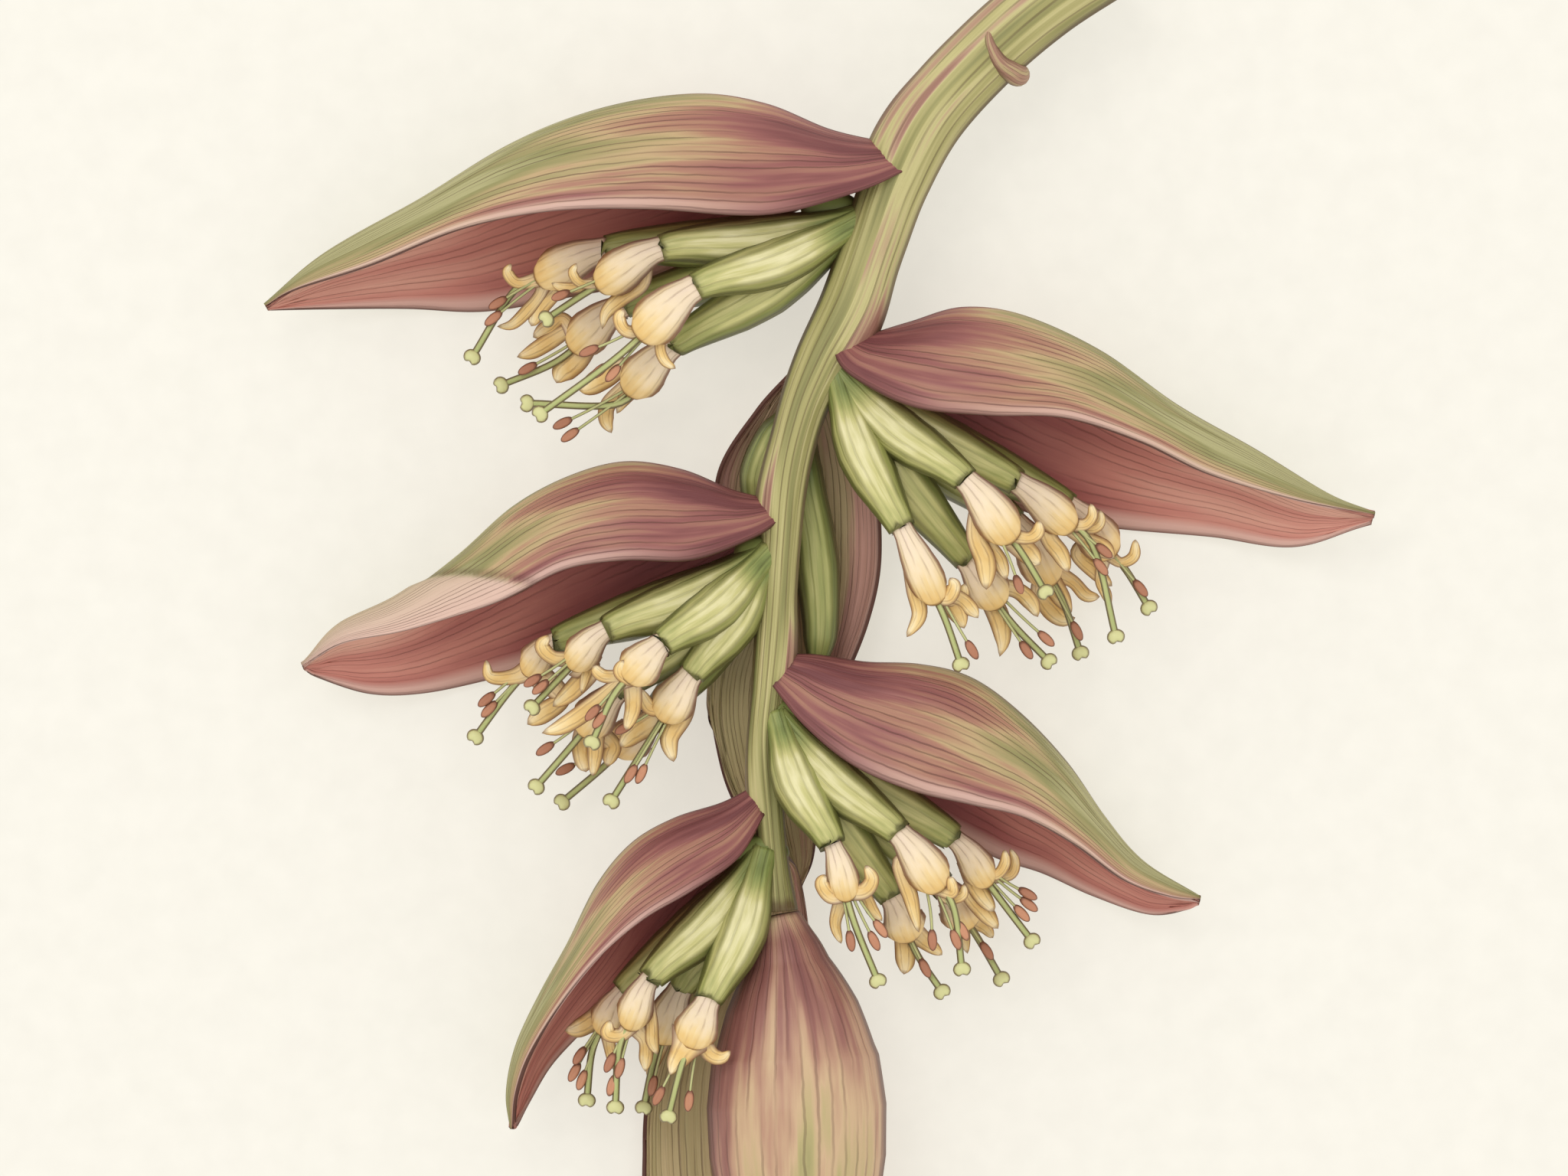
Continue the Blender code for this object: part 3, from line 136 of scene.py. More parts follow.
# The bud's axis from the stalk to its tip, and its radius at shares of that length.
BUD_AXIS = [
    (-1.8, -106.6, 33.8), (1, -122, 33.8), (3.5, -150, 33.8), (4.6, -190, 33.6), (5.5, -230, 32),
    (7.5, -265, 30),
]
BUD_RADII = [
    (0, 6.9), (0.05, 9.8), (0.11, 14.6), (0.2, 21.6), (0.3, 27.3), (0.4, 29.3), (0.5, 28.8), (0.62, 25.6),
    (0.75, 19.4), (0.87, 11.2), (0.96, 4.2), (1, 1.2),
]

# Where each hand grows from the stalk.
HANDS = {
    "left_1": (21, 122.5, 34),
    "right_1": (20.5, 70, 34),
    "left_2": (-8, 11.5, 34),
    "right_2": (0.5, -42, 34),
    "left_3": (-9.5, -86.5, 34),
}

# The heights over its flower's mouth at which a lobe starts and ends: one that curls back, one that
# hangs in front, and one that hangs at the back.
CURLED = (0.5, 3.5)
FRONT = (-0.5, -2)
BACK = (-3, -5.5)

# Each flower: its finger's end, its mouth, the knob of its style, its hood's width, and its anthers seen
# from above; then its lobes, each with its heights and the places it passes seen from above, with its
# width there.
FLOWERS = {
    "left_1_a": [
        (-28.8, 97.8, 50), (-46.5, 82, 53), (-79.3, 56.5, 51), 1.12,
        [(-63.2, 77), (-60, 70.5), (-55.5, 69.8)],
        (CURLED, (-46.7, 80.8, 3.6), (-51.4, 83.6, 4.2), (-53.5, 87.7, 4.3), (-51.9, 90.5, 2.9)),
        (FRONT, (-36.7, 84.8, 3.8), (-40.3, 78.8, 3.8), (-38.8, 73.9, 3.6), (-35.2, 71.3, 2.7)),
    ],
    "left_1_b": [
        (-39.4, 110.8, 41.5), (-59.8, 99, 41), (-77.3, 87.5, 48), 1, [(-72.5, 95.2)],
        (CURLED, (-60.8, 98.2, 2.7), (-65.8, 99.1, 3.2), (-68.8, 102.5, 3.3), (-67.5, 105.7, 2.4)),
        (FRONT, (-40.3, 105.2, 4.3), (-46.7, 99.1, 5.6), (-53.3, 94.4, 5.6), (-58, 89.7, 4.3),
         (-59.3, 84.3, 1.9)),
        ((-2.2, -4.5), (-67.8, 98, 3.6), (-72.8, 98.2, 3.3), (-75.9, 99.5, 2.3)),
    ],
    "left_1_c": [
        (-57.5, 111, 26), (-79.8, 101.5, 26), (-102, 75.5, 28), 1, [(-93.5, 93.2), (-95, 88.2)],
        (CURLED, (-80.9, 99.5, 4.2), (-86.8, 99.7, 4), (-90.4, 103.2, 3.9), (-89.2, 106.1, 2.3)),
        (BACK, (-80.2, 95.8, 4), (-84.5, 90.5, 4.4), (-89.2, 86.3, 3.6), (-94.1, 85.7, 1.9)),
        (BACK, (-74.8, 97.2, 4.7), (-79.9, 91.8, 5.8), (-82.9, 85.8, 4.7)),
    ],
    "left_1_d": [
        (-35.5, 79.8, 31), (-50.5, 64.5, 31), (-84, 60.3, 34), 1, [(-72.2, 53.8), (-69.8, 50)],
        (BACK, (-52.1, 72.4, 6.4), (-58.8, 69, 7.8), (-64.1, 65.8, 6.7), (-67.3, 64.9, 3.8)),
        (BACK, (-53.3, 67, 4.7), (-57.3, 60.3, 5.4), (-58.2, 55, 5.1), (-56.4, 50.7, 2.9)),
        (FRONT, (-40, 72.1, 3.8), (-46, 67.2, 5.2), (-51.4, 62.9, 5), (-54.7, 57, 2.4)),
    ],
    "left_1_e": [
        (-52, 93, 17), (-68.8, 79.3, 15.5), (-92.8, 66.5, 18), 1, [(-84, 72)],
        (FRONT, (-62.8, 79.1, 6), (-68.1, 75.1, 8.3), (-72.7, 70.9, 7.8), (-74.8, 67.3, 4.3)),
        (BACK, (-70.8, 84.5, 5.1), (-77.2, 81, 5.8), (-82.9, 77.6, 5.1), (-87.8, 75.9, 2.7)),
        (FRONT, (-60.1, 87.1, 4.3), (-66.1, 84, 5.9), (-71.8, 80.4, 4)),
        (BACK, (-72.8, 88.5, 4.3), (-78.2, 85.1, 5.8), (-82.5, 82.4, 4)),
    ],
    "right_1_a": [
        (38.2, 19.9, 50), (49.4, -3.8, 51), (57.5, -24.9, 50), 0.84, [(61, -20)],
        (FRONT, (38.1, 11.1, 4.6), (42.5, -0.3, 5.8), (44, -8.8, 5.1), (39.9, -16, 3.1)),
        (CURLED, (48.8, -3.6, 4.3), (53.2, -3.2, 5.1), (55.2, 0.6, 4.7), (53.8, 3.3, 2.6)),
        (BACK, (53.8, -4.5, 3.4), (58.1, -2.3, 4.3), (58.7, 1.5, 3.1)),
        (BACK, (53, -3.4, 5.8), (56.6, -8.4, 6.4), (58.7, -13.2, 3.1)),
        (BACK, (57.2, -3.4, 4.9), (61.2, -7.2, 4.9), (63.2, -9.8, 2.3)),
    ],
    "right_1_b": [
        (58.7, 35.5, 50), (73.6, 16.2, 51), (84.8, -1.3, 58), 1, [(76, 1.2)],
        (CURLED, (74, 16.3, 4.1), (79, 16.2, 4.1), (82.3, 18, 4.6), (82.8, 22, 3.1)),
        (FRONT, (58.6, 27.2, 3.4), (62.2, 17.3, 6), (65.5, 8.5, 7), (65.8, -0.6, 5.1)),
        (BACK, (66.8, 15, 4.3), (70.2, 8.8, 5.1), (72.4, 2.9, 3.4)),
        (BACK, (75.6, 15, 5.8), (79.8, 11, 7.3), (83.4, 7.6, 4.7)),
    ],
    "right_1_c": [
        (75.5, 34.8, 36), (93.5, 19.9, 38), (108.2, -15.9, 40), 0.92, [(104.2, 12.2), (103.2, 7)],
        (CURLED, (92.8, 20.2, 3.7), (97.8, 20.6, 4), (100.5, 23.5, 3.5), (99.9, 27.5, 2.8)),
        (FRONT, (95.5, 18.9, 3.4), (100.8, 19.6, 4), (103.4, 22, 3.5), (103.1, 25.5, 2.4)),
        (FRONT, (82.5, 23, 4.9), (86.4, 16.5, 6), (90.3, 11, 5.8), (92.9, 5.2, 4)),
        (BACK, (93.2, 18.4, 4.1), (99.3, 15.6, 5.8), (104.7, 12.5, 6.4), (108, 9.6, 3.4)),
    ],
    "right_1_d": [
        (59.3, 10, 31), (69.9, -5, 31), (86.5, -24, 34), 1, [(79, -20.2), (85.5, -16.5)],
        (FRONT, (61.4, 6.5, 4.3), (66, -1.1, 6.6), (70.2, -9.5, 7.3), (71.6, -17.2, 5.2),
         (70.5, -22.5, 2.1)),
        (BACK, (69.5, 2.3, 4.3), (75.6, -0.5, 5.5), (80.5, -4.3, 5.7), (83.1, -9.5, 3.4)),
    ],
    "right_1_e": [
        (74.9, 22.4, 15.5), (87.5, 2.5, 13.5), (97.3, -21.4, 15), 1, [(96, -14)],
        (FRONT, (82.5, 9.6, 6.4), (87.8, 2, 7.3), (91.8, -4.2, 5.8), (94.6, -8, 2.6)),
        (BACK, (83.6, -1.1, 5.1), (87.8, -7.2, 6.6), (92, -10.4, 5.1), (95.8, -9.7, 3.1)),
        (BACK, (89.3, 8.1, 4.9), (94.7, 2.3, 4.6), (99.3, -2.3, 4.6), (103.9, -2.9, 3.5)),
    ],
    "right_1_f": [
        (92.5, 27, 24), (107, 11.5, 25), (119.4, -6.5, 27), 1, [(116.5, 0)],
        (CURLED, (104.7, 9, 3.4), (110, 8.4, 3.5), (114.4, 10.4, 4), (114.9, 15.9, 2.8)),
        (BACK, (96.2, 11.1, 4.9), (102.4, 5, 5.2), (107.6, 0.6, 3.4)),
        (BACK, (103.5, 2.7, 3.4), (105.6, -1.9, 3.7), (107, -6.5, 2)),
    ],
    "left_2_a": [
        (-39.6, -18, 50), (-50.5, -29.5, 54), (-62.3, -50.2, 56), 1, [(-62, -40.4), (-59.8, -42.6)],
        ((-2.2, -3.6), (-52.8, -29, 3.4), (-58.5, -28.6, 4.4), (-62.2, -25.4, 4.4)),
        (CURLED, (-43, -29.7, 3.4), (-49.3, -30, 4.1), (-53.1, -27.2, 4.8), (-52.1, -23.3, 3.2)),
        (BACK, (-55.6, -32.4, 4.6), (-64.2, -39.8, 6.2), (-72.3, -45.1, 5.5), (-78.8, -47.2, 3)),
        ((-4.2, -6.5), (-49.5, -31.2, 4.6), (-49.1, -38.7, 5.5), (-51.4, -46.3, 3.7)),
    ],
    "left_2_b": [
        (-57.4, -13.4, 41.5), (-68.8, -24.9, 40.5), (-82, -38.9, 46), 0.86, [(-81.7, -30.1), (-79.2, -32.2)],
        (CURLED, (-68.3, -22.6, 4.1), (-75.1, -22.8, 4.8), (-78.8, -18.9, 5.1), (-76.4, -15.5, 3.2)),
        (FRONT, (-57.9, -17.8, 4.1), (-63.7, -25.1, 4.4), (-66.1, -34.3, 2.1)),
        (BACK, (-63.7, -27.2, 7.6), (-69.8, -34.1, 6.2), (-75.5, -38.7, 3.7)),
    ],
    "left_2_c": [
        (-73.5, -16.9, 26), (-83.8, -27.2, 26), (-101, -48.8, 27), 0.8, [(-97.2, -36.4), (-96.4, -39.6)],
        (CURLED, (-80.3, -26.7, 6.2), (-88.3, -29, 5.5), (-96, -29, 4.1), (-97.4, -23.5, 3)),
        (BACK, (-72.9, -35.8, 6.2), (-79.2, -41.2, 6.9), (-84.2, -44.7, 4.6)),
    ],
    "left_2_d": [
        (-30, -27.8, 39), (-39, -42, 38), (-56.3, -69.5, 41), 1,
        [(-52, -45.6), (-49.9, -60.5), (-46.5, -60.5)],
        (CURLED, (-36.5, -32.4, 3.4), (-37.8, -38.1, 5.3), (-43.6, -38.9, 5.3), (-47, -32.9, 3.4)),
        (FRONT, (-31, -30.7, 6.9), (-33.5, -41, 8), (-37.4, -49, 6.4), (-36, -56.8, 4.1)),
        (BACK, (-41.3, -41.6, 7.3), (-48.2, -47, 7.3), (-53.5, -51.9, 4.8)),
    ],
    "left_2_e": [
        (-53.9, -33, 30), (-65.4, -46.7, 28.5), (-81, -65, 29), 1, [(-78, -52.5)],
        ((-2.4, -4.6), (-62.5, -43.3, 7.1), (-66, -51.3, 7.3), (-64.8, -60.3, 6)),
        ((1, -1.2), (-59.9, -45, 4.6), (-61.7, -53.6, 5.3), (-62.5, -61.6, 3)),
        (BACK, (-56.2, -51.3, 5.7), (-56.9, -54.8, 5.5), (-58, -58.4, 3.7)),
    ],
    "left_2_f": [
        (-42.3, -41.3, 17), (-53.9, -53.3, 13.5), (-72.9, -70.3, 15), 1, [(-71.7, -59.4)],
        (BACK, (-47.6, -45.6, 7.3), (-54.8, -51.5, 7.3), (-59.4, -57.1, 4.8)),
    ],
    "right_2_a": [
        (15.6, -83, 50), (20.5, -100.3, 52), (30.5, -127.7, 52), 0.74,
        [(21.6, -114.5), (29.2, -114.5), (31.3, -110.6)],
        (CURLED, (20.6, -101.2, 3.8), (15.3, -100.1, 5.1), (12.3, -96.1, 4.8), (13.3, -93, 2.9)),
        (CURLED, (20.9, -99.7, 3.8), (25.9, -98.4, 5.5), (28.5, -94.6, 4.8), (26.4, -90, 2.9)),
        (BACK, (17.7, -101.9, 4), (16.7, -108.8, 4), (18.6, -115.7, 2.3)),
        (BACK, (26.4, -100.3, 4), (28.7, -104.8, 4.2), (32, -108.3, 2.3)),
    ],
    "right_2_b": [
        (36.9, -79.3, 47), (50.5, -97.2, 49), (57.9, -124, 49), 1,
        [(48.2, -114.3), (55.8, -114.2), (58.1, -111.4)],
        (CURLED, (50.6, -100.3, 4.4), (54.6, -98.8, 4.4), (53.9, -93.6, 3.2)),
        (FRONT, (53.2, -101.2, 3.6), (57.9, -99.9, 3.8), (58.6, -96.3, 2.5)),
        (FRONT, (37.9, -90.3, 5.7), (41.1, -100.3, 5.3), (43.9, -112.1, 2.5)),
    ],
    "right_2_c": [
        (55, -81.4, 31), (66.4, -96.1, 31), (81, -115.3, 33), 0.8,
        [(79.5, -99.8), (79.9, -103.3), (77.6, -106.2)],
        (CURLED, (63.7, -93.5, 4), (69.5, -93.6, 3.8), (72.2, -89.8, 3.8), (72, -85.4, 2.5)),
        (FRONT, (67.9, -94.9, 3.4), (73.9, -93.6, 4), (75.5, -89.3, 3.4), (73.9, -85.2, 2.1)),
        (FRONT, (57.4, -90.3, 4.6), (63.2, -98.2, 6.3), (68.7, -105.8, 4.4)),
        (BACK, (60.6, -99.8, 5.7), (65.3, -105.6, 6.3), (70.1, -111.5, 3.8)),
    ],
    "right_2_d": [
        (34.8, -100.3, 31), (41, -114, 31), (51.6, -131.9, 33), 1, [(46, -124)],
        (FRONT, (34.6, -102.4, 4.6), (38.5, -111.9, 5.7), (39.7, -121.4, 6.7), (39.2, -126.4, 4.6)),
        (BACK, (43.7, -110.3, 5.7), (47.4, -116.6, 5.3), (51.8, -120.1, 2.9)),
    ],
    "right_2_e": [
        (51.6, -97.1, 15), (60.5, -110.2, 13), (71.4, -128.4, 14), 1, [(66.5, -119)],
        (BACK, (54.2, -103.5, 6.7), (58.4, -111.9, 5.7), (60.4, -120.3, 2.1)),
        (BACK, (61.6, -106.1, 5.7), (65.9, -111.5, 4.6), (68.8, -115.1, 2.9)),
    ],
    "left_3_a": [
        (-24.5, -133.7, 52), (-30.6, -148.3, 57.5), (-37.5, -171.5, 58), 1,
        [(-40.6, -164.5), (-30.8, -166.2)],
        ((3, 2), (-29.5, -143.2, 10.7), (-32.1, -149.2, 9.6), (-35.2, -154.3, 6.2), (-36.9, -158, 1.9)),
        (FRONT, (-26.1, -145.7, 4.6), (-23.7, -151.3, 5.5), (-20.1, -152.3, 4.5), (-17.3, -150.2, 2.4)),
    ],
    "left_3_b": [
        (-43.3, -126.8, 46), (-50.4, -142.3, 47.5), (-54.9, -169, 47), 0.82,
        [(-56.6, -154.2), (-53.4, -156), (-56, -161.8)],
        (CURLED, (-48.2, -143.3, 4.6), (-53, -145.3, 4.6), (-57.1, -144.7, 5.2), (-56.6, -140.4, 3.1)),
        (FRONT, (-41.1, -131.1, 2.8), (-43.1, -140.6, 4.1), (-42.8, -147.5, 4.5), (-41.1, -151.9, 2.6)),
        (BACK, (-45.2, -147.5, 4.6), (-45, -153.5, 4.6), (-45.2, -157.6, 2.2)),
    ],
    "left_3_c": [
        (-52.3, -131.5, 31), (-59.4, -144.5, 31), (-64.4, -167.3, 34), 0.8,
        [(-66.7, -152.6), (-68.4, -158), (-66, -160.6)],
        (FRONT, (-56.8, -137.6, 8.1), (-62.4, -141.4, 7.4), (-67.6, -144.2, 6), (-71.7, -144.7, 3.4)),
        (BACK, (-56.2, -145.7, 3.8), (-56.8, -151.8, 3.8), (-55.9, -157.6, 2.2)),
    ],
    "left_3_d": [
        (-33.5, -130.5, 25), (-40, -147.5, 20.5), (-46, -170.4, 20), 1, [(-43, -163)],
        (BACK, (-40.5, -150.9, 4.6), (-43.1, -156.9, 4.1), (-44.5, -161.4, 2.4)),
    ],
}

# The unopened fingers behind the stalk, root to point.
YOUNG_FINGERS = [
    [(5.5, 60, 29), (-3.5, 47, 25.5), (-7.5, 34, 22), (-6, 18, 18)],
    [(7, 60, 28), (6, 40, 21), (10, 14, 19), (12, -12, 19), (10, -30, 19)],
]

FINGER_RADII = [
    (0, 5.2), (0.12, 5.3), (0.25, 6.2), (0.38, 7.7), (0.52, 8.5), (0.68, 7.9), (0.85, 6.1), (1, 4.7),
]
YOUNG_RADII = [(0, 2.6), (0.25, 6.6), (0.6, 7.6), (0.85, 5.6), (1, 1.2)]
HOOD_RADII = [(0, 4.0), (0.12, 4.4), (0.35, 6.0), (0.6, 7.2), (0.8, 7.4), (0.92, 6.9), (1, 5.4)]


def smooth(low, high, value):
    """0 below low, 1 above high, and a smooth rise between."""
    t = min(1.0, max(0.0, (value - low) / (high - low)))
    return t * t * (3 - 2 * t)


def bump(middle, width, value):
    """1 at the middle, falling smoothly to 0 a few widths away."""
    return exp(-(((value - middle) / width) ** 2))


def between(stops, share):
    """The value at this share, read from (share, value) stops."""
    for (s0, v0), (s1, v1) in zip(stops, stops[1:]):
        if share <= s1:
            t = (share - s0) / (s1 - s0)
            return v0 + (v1 - v0) * t
    return stops[-1][1]


def place(point):
    """A point of the plan as a place in the scene, in metres."""
    return (Vector(point[:3]) + CENTRE) * MM


def smooth_line(points):
    """A smooth curve through the points: a function from the share of its length to a place on it."""
    points = [Vector(p) for p in points]
    spans = [(b.to_3d() - a.to_3d()).length for a, b in zip(points, points[1:])]
    points = [points[0] * 2 - points[1], *points, points[-1] * 2 - points[-2]]

    def at(share):
        left = min(1.0, max(0.0, share)) * sum(spans)
        index = 0
        while index < len(spans) - 1 and left > spans[index]:
            left -= spans[index]
            index += 1
        t = min(1.0, left / spans[index])
        before, a, b, after = points[index : index + 4]
        return (
            a * (2 * t**3 - 3 * t**2 + 1)
            + (b - before) * ((t**3 - 2 * t**2 + t) / 2)
            + b * (3 * t**2 - 2 * t**3)
            + (after - a) * ((t**3 - t**2) / 2)
        )

    return at


def heading(line, share):
    """The direction of a smooth line at this share of it."""
    low, high = max(0.0, share - 0.01), min(1.0, share + 0.01)
    return (line(high) - line(low)).to_3d().normalized()


def nearest_share(line, point):
    """The share of a smooth line at which it comes nearest to a point."""
    return min((i / 400 for i in range(401)), key=lambda s: (line(s).to_3d() - point).length)


def rough(x, y, seed):
    """Smooth noise from -1 to 1."""
    return noise.noise(Vector((x, y, seed)))


def ringed(share, angle, run, turns, seed):
    """Smooth noise from -1 to 1 over a tube's skin, which meets itself all round."""
    return rough(cos(angle) * turns, sin(angle) * turns, share * run + seed * 7.3)


# Finishes, whose colours are given as they look on paper, from 0 to 255

INK = (84, 48, 36)
STALK_INK = (92, 66, 40)
FINGER_INK = (86, 84, 36)
FLOWER_INK = (122, 70, 46)
# The paler margin: along the bracts' edges it is a painted highlight. It also colours the edges of the bud's
# bracts and the rolled lip.
PALE_MARGIN = (226, 190, 174)
RELIEF = 0.3


def paint(red, green, blue):
    """A paper colour as the shader's linear colour."""
    return (*[((c / 255 + 0.055) / 1.055) ** 2.4 if c > 10 else c / 3294 for c in (red, green, blue)], 1)


class Finish:
    """A material of a plant's skin, whose nodes are added one by one."""

    def __init__(self, name, roughness, specular=0.4):
        self.material = bpy.data.materials.new(name)
        self.material.use_nodes = True
        self.tree = self.material.node_tree
        self.shader = self.tree.nodes["Principled BSDF"]
        self.feed(self.shader, {"Roughness": roughness, "Specular IOR Level": specular})

    def feed(self, node, inputs):
        """Sets each of these inputs of a node to a value, or wires it to another node's output."""
        for name, value in inputs.items():
            if isinstance(value, bpy.types.NodeSocket):
                self.tree.links.new(value, node.inputs[name])
            else:
                node.inputs[name].default_value = value

    def node(self, kind, inputs=None, **settings):
        """Adds a node of this kind."""
        made = self.tree.nodes.new(kind)
        for key, value in settings.items():
            setattr(made, key, value)
        self.feed(made, inputs or {})
        return made

    def value(self, name):
        """What the mesh says in the attribute of this name."""
        return self.node("ShaderNodeAttribute", attribute_name=name).outputs["Fac"]

    def run(self):
        """The piece's own map: how far along the part a point lies, and how far across."""
        return self.node("ShaderNodeUVMap", uv_map="UVMap").outputs["UV"]

    def grain(self, lengthwise, sideways, detail, seed=0.0):
        """Noise drawn out along the part, from 0 to 1."""
        stretch = {"Vector": self.run(), "Scale": (lengthwise, sideways, 1), "Location": (seed, seed, 0)}
        fit = self.node("ShaderNodeMapping", stretch).outputs["Vector"]
        inputs = {"Vector": fit, "Scale": 1, "Detail": detail}
        return self.node("ShaderNodeTexNoise", inputs, noise_dimensions="2D").outputs["Fac"]

    def lines(self, count):
        """Slightly wandering lines along the part, this many across it: 0 between them, 1 on them."""
        wave = {"Scale": count * pi / 10, "Distortion": 1.2, "Detail": 2, "Detail Scale": 1.4}
        made = self.node("ShaderNodeTexWave", wave, bands_direction="Y", wave_profile="SIN")
        self.feed(made, {"Vector": self.run()})
        return made.outputs["Fac"]

    def sum(self, operation, a, b):
        """The sum, difference or product of two values."""
        return self.node("ShaderNodeMath", {0: a, 1: b}, operation=operation).outputs["Value"]

    def step(self, value, low, high, to_low=0.0, to_high=1.0):
        """The value between low and high, spread from to_low to to_high and no further."""
        inputs = {"Value": value, "From Min": low, "From Max": high, "To Min": to_low, "To Max": to_high}
        return self.node("ShaderNodeMapRange", inputs, interpolation_type="SMOOTHSTEP").outputs["Result"]

    def ramp(self, value, stops):
        """A colour for each value, from (value, paper colour) stops."""
        made = self.node("ShaderNodeValToRGB", {"Fac": value})
        elements = made.color_ramp.elements
        while len(elements) < len(stops):
            elements.new(0.5)
        for element, (position, colour) in zip(elements, stops):
            element.position = position
            element.color = paint(*colour)
        return made.outputs["Color"]

    def mix(self, share, a, b):
        """Colour a, turning to b as the share goes from 0 to 1."""
        return self.node("ShaderNodeMix", {0: share, 6: a, 7: b}, data_type="RGBA").outputs[2]

    def finish(self, colour, height=None):
        """Sets the colour and a shallow relief, and returns the material."""
        self.feed(self.shader, {"Base Color": colour})
        if height is not None:
            relief = self.node("ShaderNodeBump", {"Height": height, "Strength": 0.6, "Distance": RELIEF * MM})
            self.feed(self.shader, {"Normal": relief.outputs["Normal"]})
        return self.material


def skin_finish(name, stops, veins, roughness, streak, dark, margin=None, across=7.0, run=3.0, ink=INK):
    """A leafy skin: its tint in drawn-out streaks, thin dark veins, a paler margin and an inked edge.

    A larger across puts the streaks closer together, and a larger run breaks the veins more often.
    """
    made = Finish(name, roughness)
    broad = made.step(made.grain(1.6, across, 4.0), 0.3, 0.7, -streak / 2, streak / 2)
    fine = made.step(made.grain(3.0, across * 5, 3.0, 7.3), 0.3, 0.7, -streak / 5, streak / 5)
    tint = made.sum("ADD", made.value("tint"), made.sum("ADD", broad, fine))
    colour = made.ramp(tint, stops)
    broken = made.step(made.grain(run, across * 2, 2.0, 3.1), 0.3, 0.62)
    vein = made.sum("MULTIPLY", made.step(made.lines(veins), 0.86, 0.99), broken)
    if margin:
        colour = made.mix(made.value("margin"), colour, paint(*margin))
    colour = made.mix(made.sum("MULTIPLY", vein, dark), colour, paint(*ink))
    colour = made.mix(made.value("edge"), colour, paint(*ink))
    height = made.sum("SUBTRACT", made.grain(2.0, across * 9, 3.0, 1.7), made.sum("MULTIPLY", vein, 0.8))
    return made.finish(colour, height)


# Meshes

# What each point tells the finishes: its place in the colours, its paleness and its share of ink.
FIELDS = ("tint", "margin", "edge")
OUTLINE = 0.7
INKED = 0.8


def begin():
    """An empty mesh with the fields that the finishes read."""
    bm = bmesh.new()
    bm.loops.layers.uv.new("UVMap")
    for name in FIELDS:
        bm.verts.layers.float.new(name)
    return bm


def mark(bm, vert, values):
    """Sets the fields of one point."""
    for name, value in zip(FIELDS, values):
        vert[bm.verts.layers.float[name]] = value


def skin(bm, lengthwise, sideways, where, look, closed=True, flat=None):
    """Adds a sheet set by where(share along it, share across it); a closed one is joined into a tube."""
    made = bmesh.ops.create_grid(bm, x_segments=lengthwise, y_segments=sideways, size=0.5)["verts"]
    faces = list(dict.fromkeys(face for vert in made for face in vert.link_faces))
    uv = bm.loops.layers.uv["UVMap"]
    for face in faces:
        for loop in face.loops:
            share, across = loop.vert.co.x + 0.5, loop.vert.co.y + 0.5
            loop[uv].uv = flat(share, across) if flat else (share, across)
    for vert in made:
        share, across = vert.co.x + 0.5, vert.co.y + 0.5
        mark(bm, vert, look(share, across))
        vert.co = where(share, across)
    if closed:
        bmesh.ops.remove_doubles(bm, verts=made, dist=0.0005)
        faces = [face for face in faces if face.is_valid]
        rims = {edge for face in faces for edge in face.edges if edge.is_boundary}
        faces += bmesh.ops.holes_fill(bm, edges=sorted(rims, key=lambda e: e.index), sides=0)["faces"]
        for face in faces:
            face.normal_update()
        if sum(f.calc_center_median().dot(f.normal) * f.calc_area() for f in faces) < 0:
            bmesh.ops.reverse_faces(bm, faces=faces)
    return faces


def rounded(line, radius):
    """Where a tube's skin lies: radius(share, angle) from its line.  Angle 0 faces up."""

    def where(share, across):
        ahead = heading(line, share)
        right = ahead.cross(UP).normalized()
        angle = across * 2 * pi
        middle = line(share).to_3d()
        reach = radius(share, angle)
        return middle + (right * sin(angle) + right.cross(ahead) * cos(angle)) * reach

    return where


def outlined(across, radius):
    """1 on the two sides of an upright-seen tube this thick, where a drawn plant has its outline."""
    inside = 1 - min(0.36, OUTLINE / radius)
    return smooth(inside - 0.05, inside + 0.02, abs(sin(across * 2 * pi)))


def pebble(bm, middle, size, direction, shape=None, tint=0.5, turn=UP):
    """Adds a small egg shape, longest along the direction, with a belt of ink round it."""
    made = bmesh.ops.create_icosphere(bm, subdivisions=3, radius=1)["verts"]
    ahead = direction.normalized()
    side = ahead.cross(turn).normalized()
    axes = Matrix((side, side.cross(ahead), ahead)).transposed()
    for vert in made:
        mark(bm, vert, (tint, 0, INKED * (1 - smooth(0.45, 0.66, abs((axes @ vert.co).z)))))
        spot = shape(vert.co.copy()) if shape else vert.co
        vert.co = middle + axes @ Vector([a * b for a, b in zip(spot, size)])


def shown(name, data):
    """A new object in the scene."""
    made = bpy.data.objects.new(name, data)
    bpy.context.scene.collection.objects.link(made)
    return made


def piece(name, bm, finishes, slot, *nodes):
    """The finished object of a mesh that is given in plan millimetres."""
    for vert in bm.verts:
        vert.co = place(vert.co)
    mesh = bpy.data.meshes.new(name)
    bm.to_mesh(mesh)
    bm.free()
    for finish in finishes:
        mesh.materials.append(finish)
    mesh.shade_smooth()
    made = shown(name, mesh)
    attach(made, "root")
    if nodes:
        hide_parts(*nodes)
    return made


# Bracts

BRACT_LENGTHWISE = 120
BRACT_SIDEWAYS = 84
BRACT_THICKNESS = 1.4

# The rolled lip of the second left bract: where it starts along the bract, and its height.
LIP_START = 0.705
LIP_HEIGHT = 1.5

# How much darker than the first left bract the others are.
BRACT_SHADES = {"right_1": -0.06, "left_2": 0.12, "right_2": 0.08, "left_3": 0.1}

